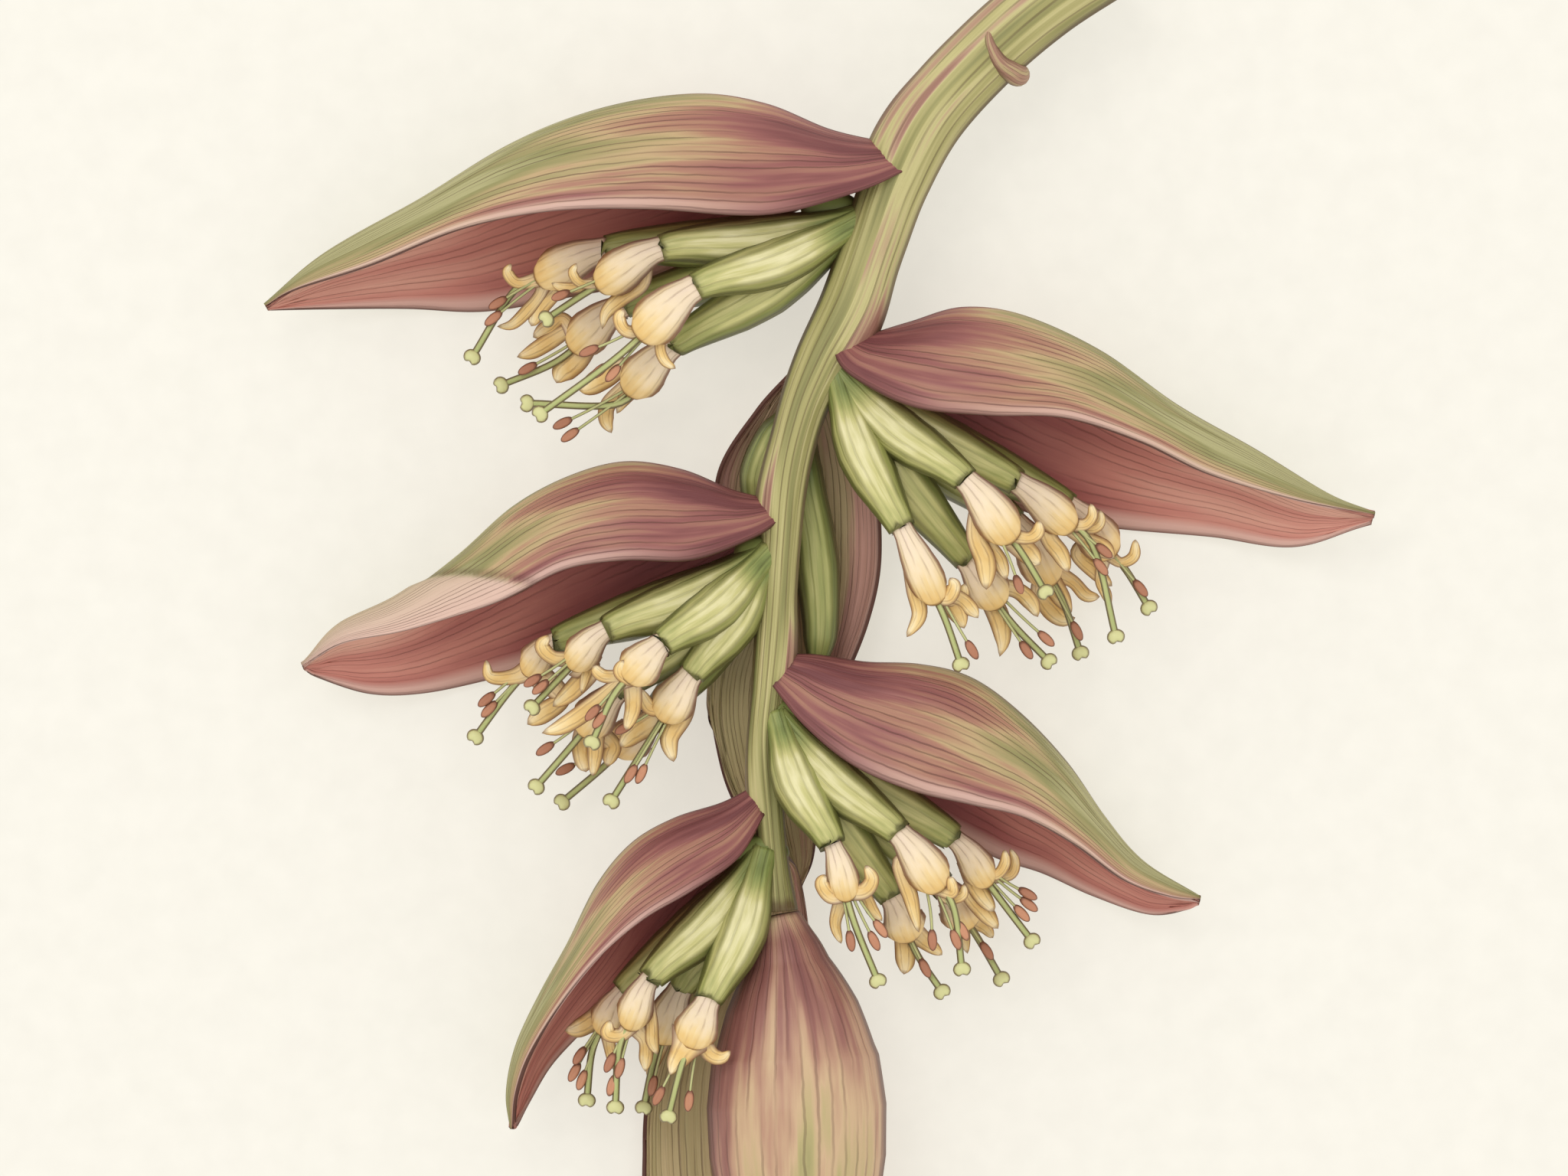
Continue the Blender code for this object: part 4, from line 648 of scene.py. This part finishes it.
OUTER_STOPS = [
    (0.0, (118, 64, 64)), (0.2, (150, 92, 86)), (0.4, (174, 126, 102)), (0.55, (193, 165, 121)),
    (0.7, (166, 152, 102)), (0.85, (146, 141, 89)), (1.0, (176, 170, 120)),
]
INNER_STOPS = [(0.0, (126, 60, 62)), (0.35, (164, 91, 85)), (0.7, (204, 134, 118)), (1.0, (226, 172, 150))]
DUSTY_STOPS = [(0.0, (184, 168, 118)), (0.4, (206, 184, 138)), (0.7, (206, 156, 138)), (1.0, (222, 172, 156))]
RIM_STOPS = [(0.0, (112, 70, 60)), (1.0, (150, 104, 88))]

bract_outer = skin_finish("bract_outer", OUTER_STOPS, 44, 0.5, streak=0.4, dark=0.6, margin=PALE_MARGIN)
bract_inner = skin_finish("bract_inner", INNER_STOPS, 50, 0.55, streak=0.24, dark=0.4, margin=PALE_MARGIN)
bract_dusty = skin_finish("bract_dusty", DUSTY_STOPS, 30, 0.55, streak=0.3, dark=0.5, margin=PALE_MARGIN)
bract_rim = skin_finish("bract_rim", RIM_STOPS, 8, 0.55, streak=0.3, dark=0.2)


def lip_reach(share, side):
    """How far past the start of the second left bract's rolled lip a point lies."""
    return share - LIP_START + 0.2 * (1 - cos(side * pi / 2))


def bract(name, shape, seed):
    """A boat-shaped bract with raised veins, a turned margin and a torn foot."""
    ridge, near, far = [smooth_line(points) for points in shape]
    lifted = "back" not in name
    sideways = UP if lifted else ACROSS

    def spot(share, side):
        """A point of its outer face: share from foot to tip, side from -1, far edge, to 1, near edge."""
        middle = ridge(share)
        reach = (near if side > 0 else far)(share) - middle
        outward = sideways * reach.dot(sideways)
        angle = abs(side) * pi / 2
        return middle + outward * sin(angle) + (reach - outward) * (1 - cos(angle))

    def where(share, across):
        side = across * 2 - 1
        torn = 0.012 * rough(side * 5, 0, seed) * (1 - smooth(0, 0.06, share))
        return spot(min(1.0, max(0.0, share + torn)), side)

    def look(share, across):
        side = across * 2 - 1
        edge = smooth(0.972, 0.99, abs(side)) * 0.85
        # A painted highlight: a pale band along both margins of the bract.
        margin = smooth(0.9, 0.96, abs(side)) * smooth(0.12, 0.5, share) * 0.75
        if not lifted:
            mauve = 0.35 + 0.55 * abs(side) if name == "back_1" else 0.35 + 0.3 * side
            return mauve + 0.15 * rough(share * 3, side * 2, seed), margin * 0.5, edge
        blush = 0.6 * (0.64 - abs(side)) * smooth(0.03, 0.3, share)
        edge = max(edge, 0.7 * (1 - smooth(0.02, 0.08, abs(side))), 0.85 * (1 - smooth(0.006, 0.018, share)))
        tint = 0.12 + 0.8 * smooth(0.02, 0.9, share) + blush + 0.12 * rough(share * 4, side * 2, seed)
        tint -= BRACT_SHADES.get(name, 0) * smooth(0.05, 0.3, share)
        if name == "left_2" and side > 0:
            past = lip_reach(share, side)
            lip = smooth(0, 0.02, past)
            tint += 0.4 * lip
            margin = max(margin, lip * (0.35 + 0.6 * side))
            edge = max(edge, 0.45 * bump(-0.004, 0.013, past))
        return tint, margin, edge

    def height(share, side):
        """How far the skin stands out from its plain shape."""
        body = sin(pi * share)
        raised = 0.3 * rough(share * 2, side * 17, seed) + 0.14 * rough(share * 3, side * 44, seed + 3)
        raised += 0.9 * rough(share * 4, side * 1.6, seed + 7) * body
        raised += 1.1 * smooth(0.9, 1.0, side) * body
        if name == "left_2":
            lip = smooth(0, 0.05, lip_reach(share, side)) * smooth(0, 0.1, side)
            raised += LIP_HEIGHT * lip * (1 - smooth(0.88, 1, share))
        return raised

    bm = begin()
    faces = skin(bm, BRACT_LENGTHWISE, BRACT_SIDEWAYS, where, look, closed=False)
    bm.normal_update()
    middle = spot(0.5, 0)
    hollow = (spot(0.5, 1) + spot(0.5, -1)) / 2
    nearest = min(faces, key=lambda face: (face.calc_center_median() - middle).length)
    if nearest.normal.dot(middle - hollow) < 0:
        bmesh.ops.reverse_faces(bm, faces=faces)
        bm.normal_update()
    uv = bm.loops.layers.uv["UVMap"]
    for vert in bm.verts:
        share, across = vert.link_loops[0][uv].uv
        vert.co += vert.normal * height(share, across * 2 - 1)
    finishes = [bract_outer, bract_inner if lifted else bract_dusty, bract_rim]
    made = piece(f"bract_{name}_skin", bm, finishes, "bract", "bract_" + name)
    wall = made.modifiers.new("wall", "SOLIDIFY")
    wall.thickness = BRACT_THICKNESS * MM
    wall.offset = -1
    wall.material_offset = 1
    wall.material_offset_rim = 2


for number, (bract_name, bract_shape) in enumerate(BRACTS.items()):
    bract(bract_name, bract_shape, 11.0 + number * 5)


# Stalk

STALK_SIDES = 72
STALK_RINGS = 260
SCAR_SIDES = 14
SCAR_RINGS = 40
SCAR_SWELL = 1.45
STRANDS_SCALE = 900

STALK_STOPS = [
    (0.0, (102, 102, 54)), (0.25, (138, 134, 80)), (0.5, (172, 164, 104)), (0.72, (198, 188, 130)),
    (0.86, (184, 148, 120)), (1.0, (156, 112, 94)),
]
SCAR_MARGIN = (178, 138, 112)
stalk_skin = skin_finish(
    "stalk_skin", STALK_STOPS, 20, 0.5, streak=0.5, dark=0.5, margin=SCAR_MARGIN, run=6.0, ink=STALK_INK
)


def cut_finish():
    """The pale cut end of the stalk, dotted with its strands."""
    made = Finish("stalk_cut", 0.6)
    where = made.node("ShaderNodeTexCoord").outputs["Object"]
    dots = made.node("ShaderNodeTexVoronoi", {"Vector": where, "Scale": STRANDS_SCALE})
    strand = made.step(dots.outputs["Distance"], 0.15, 0.4, 1, 0)
    return made.finish(made.ramp(strand, [(0.0, (222, 214, 168)), (1.0, (160, 140, 92))]), strand)


stalk_line = smooth_line(STALK)


def shoulders():
    """For each lifted bract: the share of the stalk where its foot is, and the side, 1 right or -1 left."""
    found = []
    for name, (ridge, near, _) in BRACTS.items():
        if "back" not in name:
            foot = (Vector(near[0]) + Vector(ridge[0])) / 2
            found.append((nearest_share(stalk_line, foot), 1 if "right" in name else -1))
    return found


def stalk():
    """The stalk, swollen above each bract's foot, with its cut end and the lip of a fallen bract."""
    feet = shoulders()

    def swell(share, angle):
        # The stalk runs downwards, so its own right is the picture's left.
        total = 0.0
        for foot, side in feet:
            rise = smooth(foot - 0.075, foot, share) * (1 - smooth(foot, foot + 0.03, share))
            total += rise * max(0.0, -side * sin(angle)) * 2.2
        return total

    def radius(share, angle):
        ridges = 0.28 * rough(share * 6, cos(angle) * 4 + 9, 2.0)
        ridges += 0.22 * rough(share * 8, sin(angle) * 6, 4.0) + 0.1 * cos(angle * 13)
        return stalk_line(share)[3] + swell(share, angle) + ridges

    def look(share, across):
        angle = across * 2 * pi
        top = 1 - smooth(0.2, 0.3, share)
        left = max(0.0, sin(angle))
        # Painted light: the upper side is lighter, a painted highlight. Below the top, the side towards the
        # left as seen from above is darker, a painted shade.
        tint = 0.34 + 0.2 * cos(angle) + 0.12 * rough(share * 12, cos(angle) * 2, 5.0)
        tint += top * (0.84 * left - 0.12) - 0.14 * left * (1 - top) + swell(share, angle) * 0.24
        joint = smooth(0.985, 0.995, share + 0.004 * rough(across * 14, 0, 3.0))
        return tint, 0, max(0.75 * outlined(across, stalk_line(share)[3]), INKED * joint)

    bm = begin()
    skin(bm, STALK_RINGS, STALK_SIDES, rounded(stalk_line, radius), look)
    for face in bm.faces:
        if len(face.verts) > 8:
            face.material_index = 1
    lip = smooth_line(SCAR)

    def lip_radius(share, angle=0):
        return lip(share)[3] * SCAR_SWELL

    def lip_look(share, across):
        return 0.9, 0.5, 0.7 * outlined(across, lip_radius(share))

    skin(bm, SCAR_RINGS, SCAR_SIDES, rounded(lip, lip_radius), lip_look)
    piece("stalk_skin", bm, [stalk_skin, cut_finish()], "stalk", "stalk")


stalk()


# Bud

BUD_SIDES = 150
BUD_RINGS = 150
BUD_STEP = 1.3
BUD_RADIUS = 24

BUD_STOPS = [
    (0.0, (132, 82, 76)), (0.2, (154, 104, 92)), (0.4, (186, 144, 118)), (0.6, (206, 174, 136)),
    (0.8, (186, 170, 118)), (1.0, (156, 150, 98)),
]
bud_skin = skin_finish("bud_skin", BUD_STOPS, 38, 0.45, streak=0.44, dark=0.4, margin=PALE_MARGIN, across=9)


def past_wrap(share, angle):
    """How many degrees past the edge of the outermost bract a point lies; below 0 it is on the bract."""
    turn = abs((degrees(angle) + 180) % 360 - 180)
    return turn - (150 - 75 * share)


def bud():
    """The closed bud: a swelling body wrapped in bracts whose edges step."""

    def radius(share, angle):
        covered = 1 / (1 + exp(max(-60, min(60, past_wrap(share, angle) / 1.5))))
        body = between(BUD_RADII, share) - BUD_STEP * (1 - covered) * sin(pi * share)
        veins = 0.3 * ringed(share, angle, 2.5, 5, 8.0) + 0.12 * ringed(share, angle, 3, 14, 9.0)
        return body + veins * min(1.0, body / 10)

    def look(share, across):
        angle = across * 2 * pi
        front = bump(0, 0.9, sin(angle) + 0.15) * max(0.0, cos(angle))
        right = smooth(0.35, 0.8, -sin(angle))
        tint = 0.16 + 0.46 * front * smooth(0.05, 0.4, share)
        tint += 0.3 * smooth(0.3, 0.7, share) * max(front, right)
        tint += 0.3 * (1 - smooth(0.0, 0.07, share)) + 0.12 * smooth(0.3, 0.8, sin(angle))
        past = past_wrap(share, angle)
        lip = bump(-3, 3, past) * smooth(0.05, 0.2, share)
        ring = 1 - smooth(0.0, 0.01, share + 0.004 * rough(across * 16, 0, 2.0))
        ink = max(bump(0, 1.5, past) * 0.6, INKED * outlined(across, BUD_RADIUS), INKED * ring)
        return tint, lip * 0.6, ink

    bm = begin()
    skin(bm, BUD_RINGS, BUD_SIDES, rounded(smooth_line(BUD_AXIS), radius), look)
    piece("bud_skin", bm, [bud_skin], "bud", "bud")


bud()


# Fingers

FINGER_SIDES = 40
FINGER_RINGS = 44
FINGER_BOW = 2.5
# Painted shade that darkens the young fingers behind the stalk.
YOUNG_SHADE = 0.3
CUSHION_SIZE = (6, 10, 5)
CUSHION_SHIFTS = {"left_1": Vector((-8, 2.2, -3))}

FINGER_STOPS = [
    (0.0, (92, 100, 50)), (0.25, (132, 142, 76)), (0.5, (168, 169, 99)), (0.75, (205, 198, 131)),
    (1.0, (240, 231, 183)),
]
finger_skin = skin_finish(
    "finger_skin", FINGER_STOPS, 12, 0.42, streak=0.3, dark=0.3, across=5.0, run=1.2, ink=FINGER_INK
)


def finger_line(root, neck, mouth, bow):
    """A finger's centreline from the stalk through its neck to the flower's mouth, bowed sideways."""
    root, neck, mouth = Vector(root), Vector(neck), Vector(mouth)
    belly = root.lerp(neck, 0.5) + (neck - root).cross(UP).normalized() * bow
    belly.z += 1.5
    return [root, belly, neck, mouth]


def share_at(points, index):
    """The share of a line's length at which its point of this index lies."""
    spans = [(Vector(b) - Vector(a)).length for a, b in zip(points, points[1:])]
    return sum(spans[:index]) / sum(spans)


def facet(angle):
    """How far a five-sided finger stands out at this angle, for a mean of about 1."""
    turn = (angle + pi / 5) % (2 * pi / 5) - pi / 5
    return 0.45 + 0.55 * cos(pi / 5) / cos(turn) * 1.09


def finger(bm, line, end, stops, seed, shade):
    """Adds one finger, angular and lined, along this share of the line."""

    def part(share):
        return line(share * end)

    def radius(share, angle):
        soft = smooth(0.0, 0.15, share) * (1 - smooth(0.85, 1.0, share))
        lines = 0.14 * ringed(share, angle, 3, 2.5, seed)
        return between(stops, share) * (1 + (facet(angle) - 1) * soft) + lines

    def look(share, across):
        angle = (across * 360 + 180) % 360 - 180
        # Painted light: the facet facing up is lighter, a painted highlight that is brightest about the
        # finger's middle, and the underside is darker, a painted shade. The shade argument darkens the whole
        # finger, a painted shade for a finger lying low.
        front = 1 - smooth(30, 44, abs(angle))
        low = smooth(95, 150, abs(angle))
        belly = smooth(0.12, 0.4, share)
        tint = 0.3 + 0.2 * belly + front * belly * (0.16 + 0.3 * bump(0.45, 0.3, share)) - 0.3 * low - shade
        tint += 0.1 * rough(share * 3, sin(angle), seed)
        line_marks = bump(36, 1.6, abs(angle)) * smooth(0.1, 0.25, share) * (1 - smooth(0.8, 0.95, share))
        sides = outlined(across, between(stops, share)) * smooth(0.05, 0.2, share)
        return tint, 0, max(line_marks * 0.5, INKED * sides, 0.7 * smooth(0.97, 1.0, share))

    def where(share, across):
        torn = 0.035 * ringed(0, across * 2 * pi, 1, 2.5, seed) * smooth(0.9, 1.0, share)
        return rounded(part, radius)(share + torn, across)

    skin(bm, FINGER_RINGS, FINGER_SIDES, where, look)


# Flowers

HOOD_RINGS = 32
HOOD_SIDES = 54
HOOD_RADIUS = 6
HOOD_FLAT = 0.78
# The share of the hood's skin at which it turns in at its mouth.
HOOD_MOUTH = 0.78
HOOD_LIP = (-6.0, 8.0)
LOBE_RINGS = 24
LOBE_SIDES = 20
STYLE_RADIUS = 1.2
KNOB_SIZE = (2.6, 2.6, 2.6)
FILAMENT_RADIUS = 0.5
ANTHER_SIZE = (1.6, 1.25, 3.7)

PERIANTH_STOPS = [
    (0.0, (242, 219, 192)), (0.2, (246, 224, 188)), (0.42, (239, 209, 150)), (0.6, (234, 194, 120)),
    (0.8, (244, 211, 144)), (1.0, (252, 232, 186)),
]
STYLE_STOPS = [(0.0, (162, 176, 100)), (1.0, (226, 220, 160))]
ANTHER_STOPS = [(0.0, (156, 98, 72)), (1.0, (218, 156, 118))]
perianth = skin_finish(
    "perianth", PERIANTH_STOPS, 12, 0.45, streak=0.24, dark=0.3, across=3.0, run=2.4, ink=FLOWER_INK
)
style_green = skin_finish("style_green", STYLE_STOPS, 3, 0.4, streak=0.3, dark=0.2)
anther_brown = skin_finish("anther_brown", ANTHER_STOPS, 3, 0.5, streak=0.3, dark=0.2)


def hood(bm, line, neck, wide):
    """Adds the hood: ribbed, with a torn rim on the finger, a long front lip, and hollow at its mouth."""

    def where(share, across):
        angle = across * 2 * pi
        wall = min(1.0, share / HOOD_MOUTH)
        inner = max(0.0, share - HOOD_MOUTH) / (1 - HOOD_MOUTH)
        spot = neck + (1 - neck) * wall
        ahead = heading(line, spot)
        right = ahead.cross(UP).normalized()
        front = right.cross(ahead)
        lip = HOOD_LIP[0] + HOOD_LIP[1] * max(0.0, cos(min(angle, 2 * pi - angle) * 0.85)) ** 0.8
        torn = (1.2 * ringed(0, angle, 1, 3, neck * 50) - 0.8) * (1 - smooth(0, 0.12, wall))
        forward = torn + lip * smooth(0.4, 1.0, wall)
        forward -= (lip + 9) * sin(inner * pi / 2)
        reach = wide * between(HOOD_RADII, wall) * (1 + 0.025 * cos(angle * 9) * smooth(0, 0.3, wall))
        reach *= (1 - inner) ** 0.7
        dip = -2.0 * smooth(0.7, 1.0, wall) * max(0.0, cos(angle))
        middle = line(spot).to_3d() + ahead * forward
        return middle + right * sin(angle) * reach + front * (cos(angle) * reach * HOOD_FLAT + dip)

    def look(share, across):
        inner = smooth(HOOD_MOUTH, 0.9, share)
        rim = 1 - smooth(0.0, 0.03, share)
        lip = bump(HOOD_MOUTH, 0.02, share)
        # Painted shade: the turned-in hollow of the mouth is inked at 0.35.
        ink = max(INKED * rim, INKED * lip, 0.35 * inner, INKED * outlined(across, HOOD_RADIUS))
        return share * 0.78 + inner * 0.1, 0, ink

    skin(bm, HOOD_RINGS, HOOD_SIDES, where, look)


def lobe(bm, neck, mouth, heights, outline, seed):
    """Adds one lobe: a cupped ribbon with a rounded tip, from inside its hood along the places it passes."""
    low, high = heights
    first = Vector((*outline[0][:2], mouth.z + low))
    hood_axis = mouth - neck
    share = min(0.9, max(0.4, (first - neck).dot(hood_axis) / hood_axis.dot(hood_axis)))
    start = (neck + hood_axis * share).lerp(first, 0.3)
    end = Vector((*outline[-1][:2], mouth.z + high))
    places = [(*start, outline[0][2] * 1.4)]
    for i, (x, y, wide) in enumerate(outline):
        spot = Vector((x, y, mouth.z + low + (high - low) * i / (len(outline) - 1)))
        if (spot - start).length > 4 and (spot - start).dot(end - start) > 0:
            places.append((*spot, wide))
    line = smooth_line(places)

    def where(share, across):
        spot = line(share)
        ahead = heading(line, share)
        side = ahead.cross(UP).normalized()
        face = side.cross(ahead)
        turn = across * 2 * pi
        x, y = cos(turn), sin(turn)
        tip = max(0.0, 1 - max(0.0, (share - 0.72) / 0.28) ** 2.4) ** 0.55
        reach = spot[3] / 2 * tip
        cup = -0.3 * reach * x * x + 0.3 * rough(share * 4, x * 1.5, seed)
        crease = 0.35 * bump(0, 0.25, x) * sin(share * pi)
        return spot.to_3d() + side * x * reach + face * (y * 0.4 * max(0.2, tip) + cup - crease)

    def look(share, across):
        x = cos(across * 2 * pi)
        tint = 0.42 + 0.5 * share + 0.12 * rough(share * 2, x, seed) - 0.12 * x * x
        return tint, 0, max(smooth(0.72, 0.88, abs(x)), smooth(0.93, 0.98, share)) * INKED

    def flat(share, across):
        return share, 0.5 + 0.1 * cos(across * 2 * pi)

    skin(bm, LOBE_RINGS, LOBE_SIDES, where, look, flat=flat)


def knob_shape(spot):
    """A round knob with a cleft across its end."""
    cleft = exp(-((spot.x / 0.28) ** 2)) * smooth(-0.4, 0.8, spot.z)
    return Vector((spot.x * 1.15, spot.y * 0.8, spot.z * (1 - 0.4 * cleft)))


def anther_shape(spot):
    """A long anther with a groove along it."""
    groove = exp(-((spot.x / 0.22) ** 2))
    return Vector((spot.x, spot.y * (1 - 0.3 * groove), spot.z))


def stem(bm, rings, sides, line, radius, tint):
    """Adds a thin round stem, equally thick all along, with inked sides."""

    def look(share, across):
        return tint, 0, 0.75 * outlined(across, radius)

    skin(bm, rings, sides, rounded(line, lambda share, angle: radius), look)


def flower(name, line_points, plan, threads, anthers, seed):
    """One flower: its hood and lobes, and its style and stamens added to the hand's own meshes."""
    knob, wide, tips, *lobes = plan
    line = smooth_line(line_points)
    neck, mouth = line_points[2:]
    direction = heading(line, 1.0)
    front = direction.cross(UP).normalized().cross(direction)
    bm = begin()
    hood(bm, line, share_at(line_points, 2), wide)
    for number, (heights, *outline) in enumerate(lobes):
        lobe(bm, neck, mouth, heights, outline, seed + number * 1.7)
    piece(f"flower_{name}_petals", bm, [perianth], "flower", "flower_" + name)
    knob = Vector(knob)
    leave = mouth - direction * 8 - front * 1.5
    bow = mouth + direction * (knob - mouth).length * 0.3 * (knob - mouth).normalized().dot(direction) ** 2
    style = smooth_line([leave, bow, knob])
    stem(threads, 20, 16, style, STYLE_RADIUS, 0.4)
    pebble(threads, knob, KNOB_SIZE, heading(style, 1.0), knob_shape, tint=0.8)
    for number, (x, y) in enumerate(tips):
        reach = (Vector((x, y)) - mouth.xy).length / max(1.0, (knob.xy - mouth.xy).length)
        tip = Vector((x, y, mouth.z + (knob.z - mouth.z) * reach + 2.5 - number))
        foot = leave + (tip - knob).normalized() * 1.5
        thread = smooth_line([foot, foot.lerp(tip, 0.55) + direction * 1.5, tip])
        stem(threads, 10, 12, thread, FILAMENT_RADIUS, 0.65)
        pebble(anthers, tip, ANTHER_SIZE, heading(thread, 1.0), anther_shape, tint=0.35 + 0.2 * number)


def hand(name, root, seed):
    """A hand: its fingers joined where they leave the stalk, and a flower at the end of each."""
    fingers, threads, anthers = begin(), begin(), begin()
    inwards = (stalk_line(nearest_share(stalk_line, root)).to_3d() - root) * 0.75
    cushion = root + inwards * 0.3 + CUSHION_SHIFTS.get(name, Vector())
    pebble(fingers, cushion, CUSHION_SIZE, UP, tint=0.3, turn=ACROSS)
    bow = -FINGER_BOW if "left" in name else FINGER_BOW
    # Painted shade: a finger whose neck lies low is darkened, by up to this much.
    lowest_finger_shade = 0.1 if name == "left_3" else 0.22
    for flower_name in [key for key in FLOWERS if key.startswith(name)]:
        neck, mouth, *plan = FLOWERS[flower_name]
        seed += 3.7
        foot = root + inwards * 0.6 + UP * (neck[2] - root.z) * 0.06
        line_points = finger_line(foot, neck, mouth, bow)
        # Painted shade, deeper the lower the finger's neck lies.
        shade = lowest_finger_shade * (1 - smooth(20, 45, neck[2]))
        finger(fingers, smooth_line(line_points), share_at(line_points, 2), FINGER_RADII, seed, shade)
        flower(flower_name, line_points, plan, threads, anthers, seed)
    piece(f"fingers_{name}_skin", fingers, [finger_skin], "finger", "fingers_" + name)
    piece(f"styles_{name}", threads, [style_green], "finger")
    piece(f"anthers_{name}", anthers, [anther_brown], "bract")


for number, (hand_name, hand_root) in enumerate(HANDS.items()):
    hand(hand_name, Vector(hand_root), 20.0 + number * 31)


young_hand = begin()
for number, points in enumerate(YOUNG_FINGERS):
    finger(young_hand, smooth_line(points), 1.0, YOUNG_RADII, 5.0 + number, YOUNG_SHADE)
piece("fingers_back_1_skin", young_hand, [finger_skin], "finger", "fingers_back_1")


# Floor, lights and camera

FLOOR_LIGHT = (253, 249, 237)
FLOOR_STOPS = [(0.3, (157, 154, 146)), (0.7, (163, 160, 152))]
FLOOR_HALF = 4
FLOOR_DROP = 0.0006
SKY_STRENGTH = 0.9
LENS = 250
SENSOR = 36
VIEW_WIDTH = 512
VIEW_HEIGHT = 34


def paper():
    """Pale paper with a faint grain, a little bright of itself so that shadows on it stay light."""
    made = Finish("floor_paper", 0.9, 0.1)
    where = made.node("ShaderNodeTexCoord").outputs["Object"]
    grain = made.node("ShaderNodeTexNoise", {"Vector": where, "Scale": 90})
    made.feed(made.shader, {"Emission Color": paint(*FLOOR_LIGHT), "Emission Strength": 0.6})
    return made.finish(made.ramp(grain.outputs["Fac"], FLOOR_STOPS))


def floor():
    """The floor, just under the blossom."""
    bm = bmesh.new()
    bmesh.ops.create_grid(bm, x_segments=1, y_segments=1, size=FLOOR_HALF)
    mesh = bpy.data.meshes.new("floor")
    bm.to_mesh(mesh)
    bm.free()
    mesh.materials.append(paper())
    made = shown("floor", mesh)
    made.location.z = -FLOOR_DROP


def lamp(name, spot, size, power):
    """A soft square light that faces the middle of the blossom."""
    data = bpy.data.lights.new(name, "AREA")
    data.size = size
    data.energy = power
    made = shown(name, data)
    made.location = spot
    made.rotation_euler = (-Vector(spot)).to_track_quat("-Z", "Y").to_euler()


def studio():
    """Even white light all round, with a key light and a weak fill light."""
    scene = bpy.context.scene
    scene.view_settings.view_transform = "Standard"
    scene.world = bpy.data.worlds.new("studio")
    scene.world.use_nodes = True
    sky = scene.world.node_tree.nodes["Background"]
    sky.inputs["Color"].default_value = (1, 1, 1, 1)
    sky.inputs["Strength"].default_value = SKY_STRENGTH
    lamp("key", (-0.9, 1.1, 2.6), 1.4, 18)
    lamp("fill", (1.4, -0.6, 1.8), 1.6, 3)


def camera():
    """A far camera that looks straight down on the blossom."""
    data = bpy.data.cameras.new("camera")
    data.lens = LENS
    data.sensor_width = SENSOR
    data.clip_end = 100
    made = shown("camera", data)
    made.location = place((0, 0, VIEW_HEIGHT + VIEW_WIDTH * LENS / SENSOR))
    bpy.context.scene.camera = made


floor()
studio()
camera()
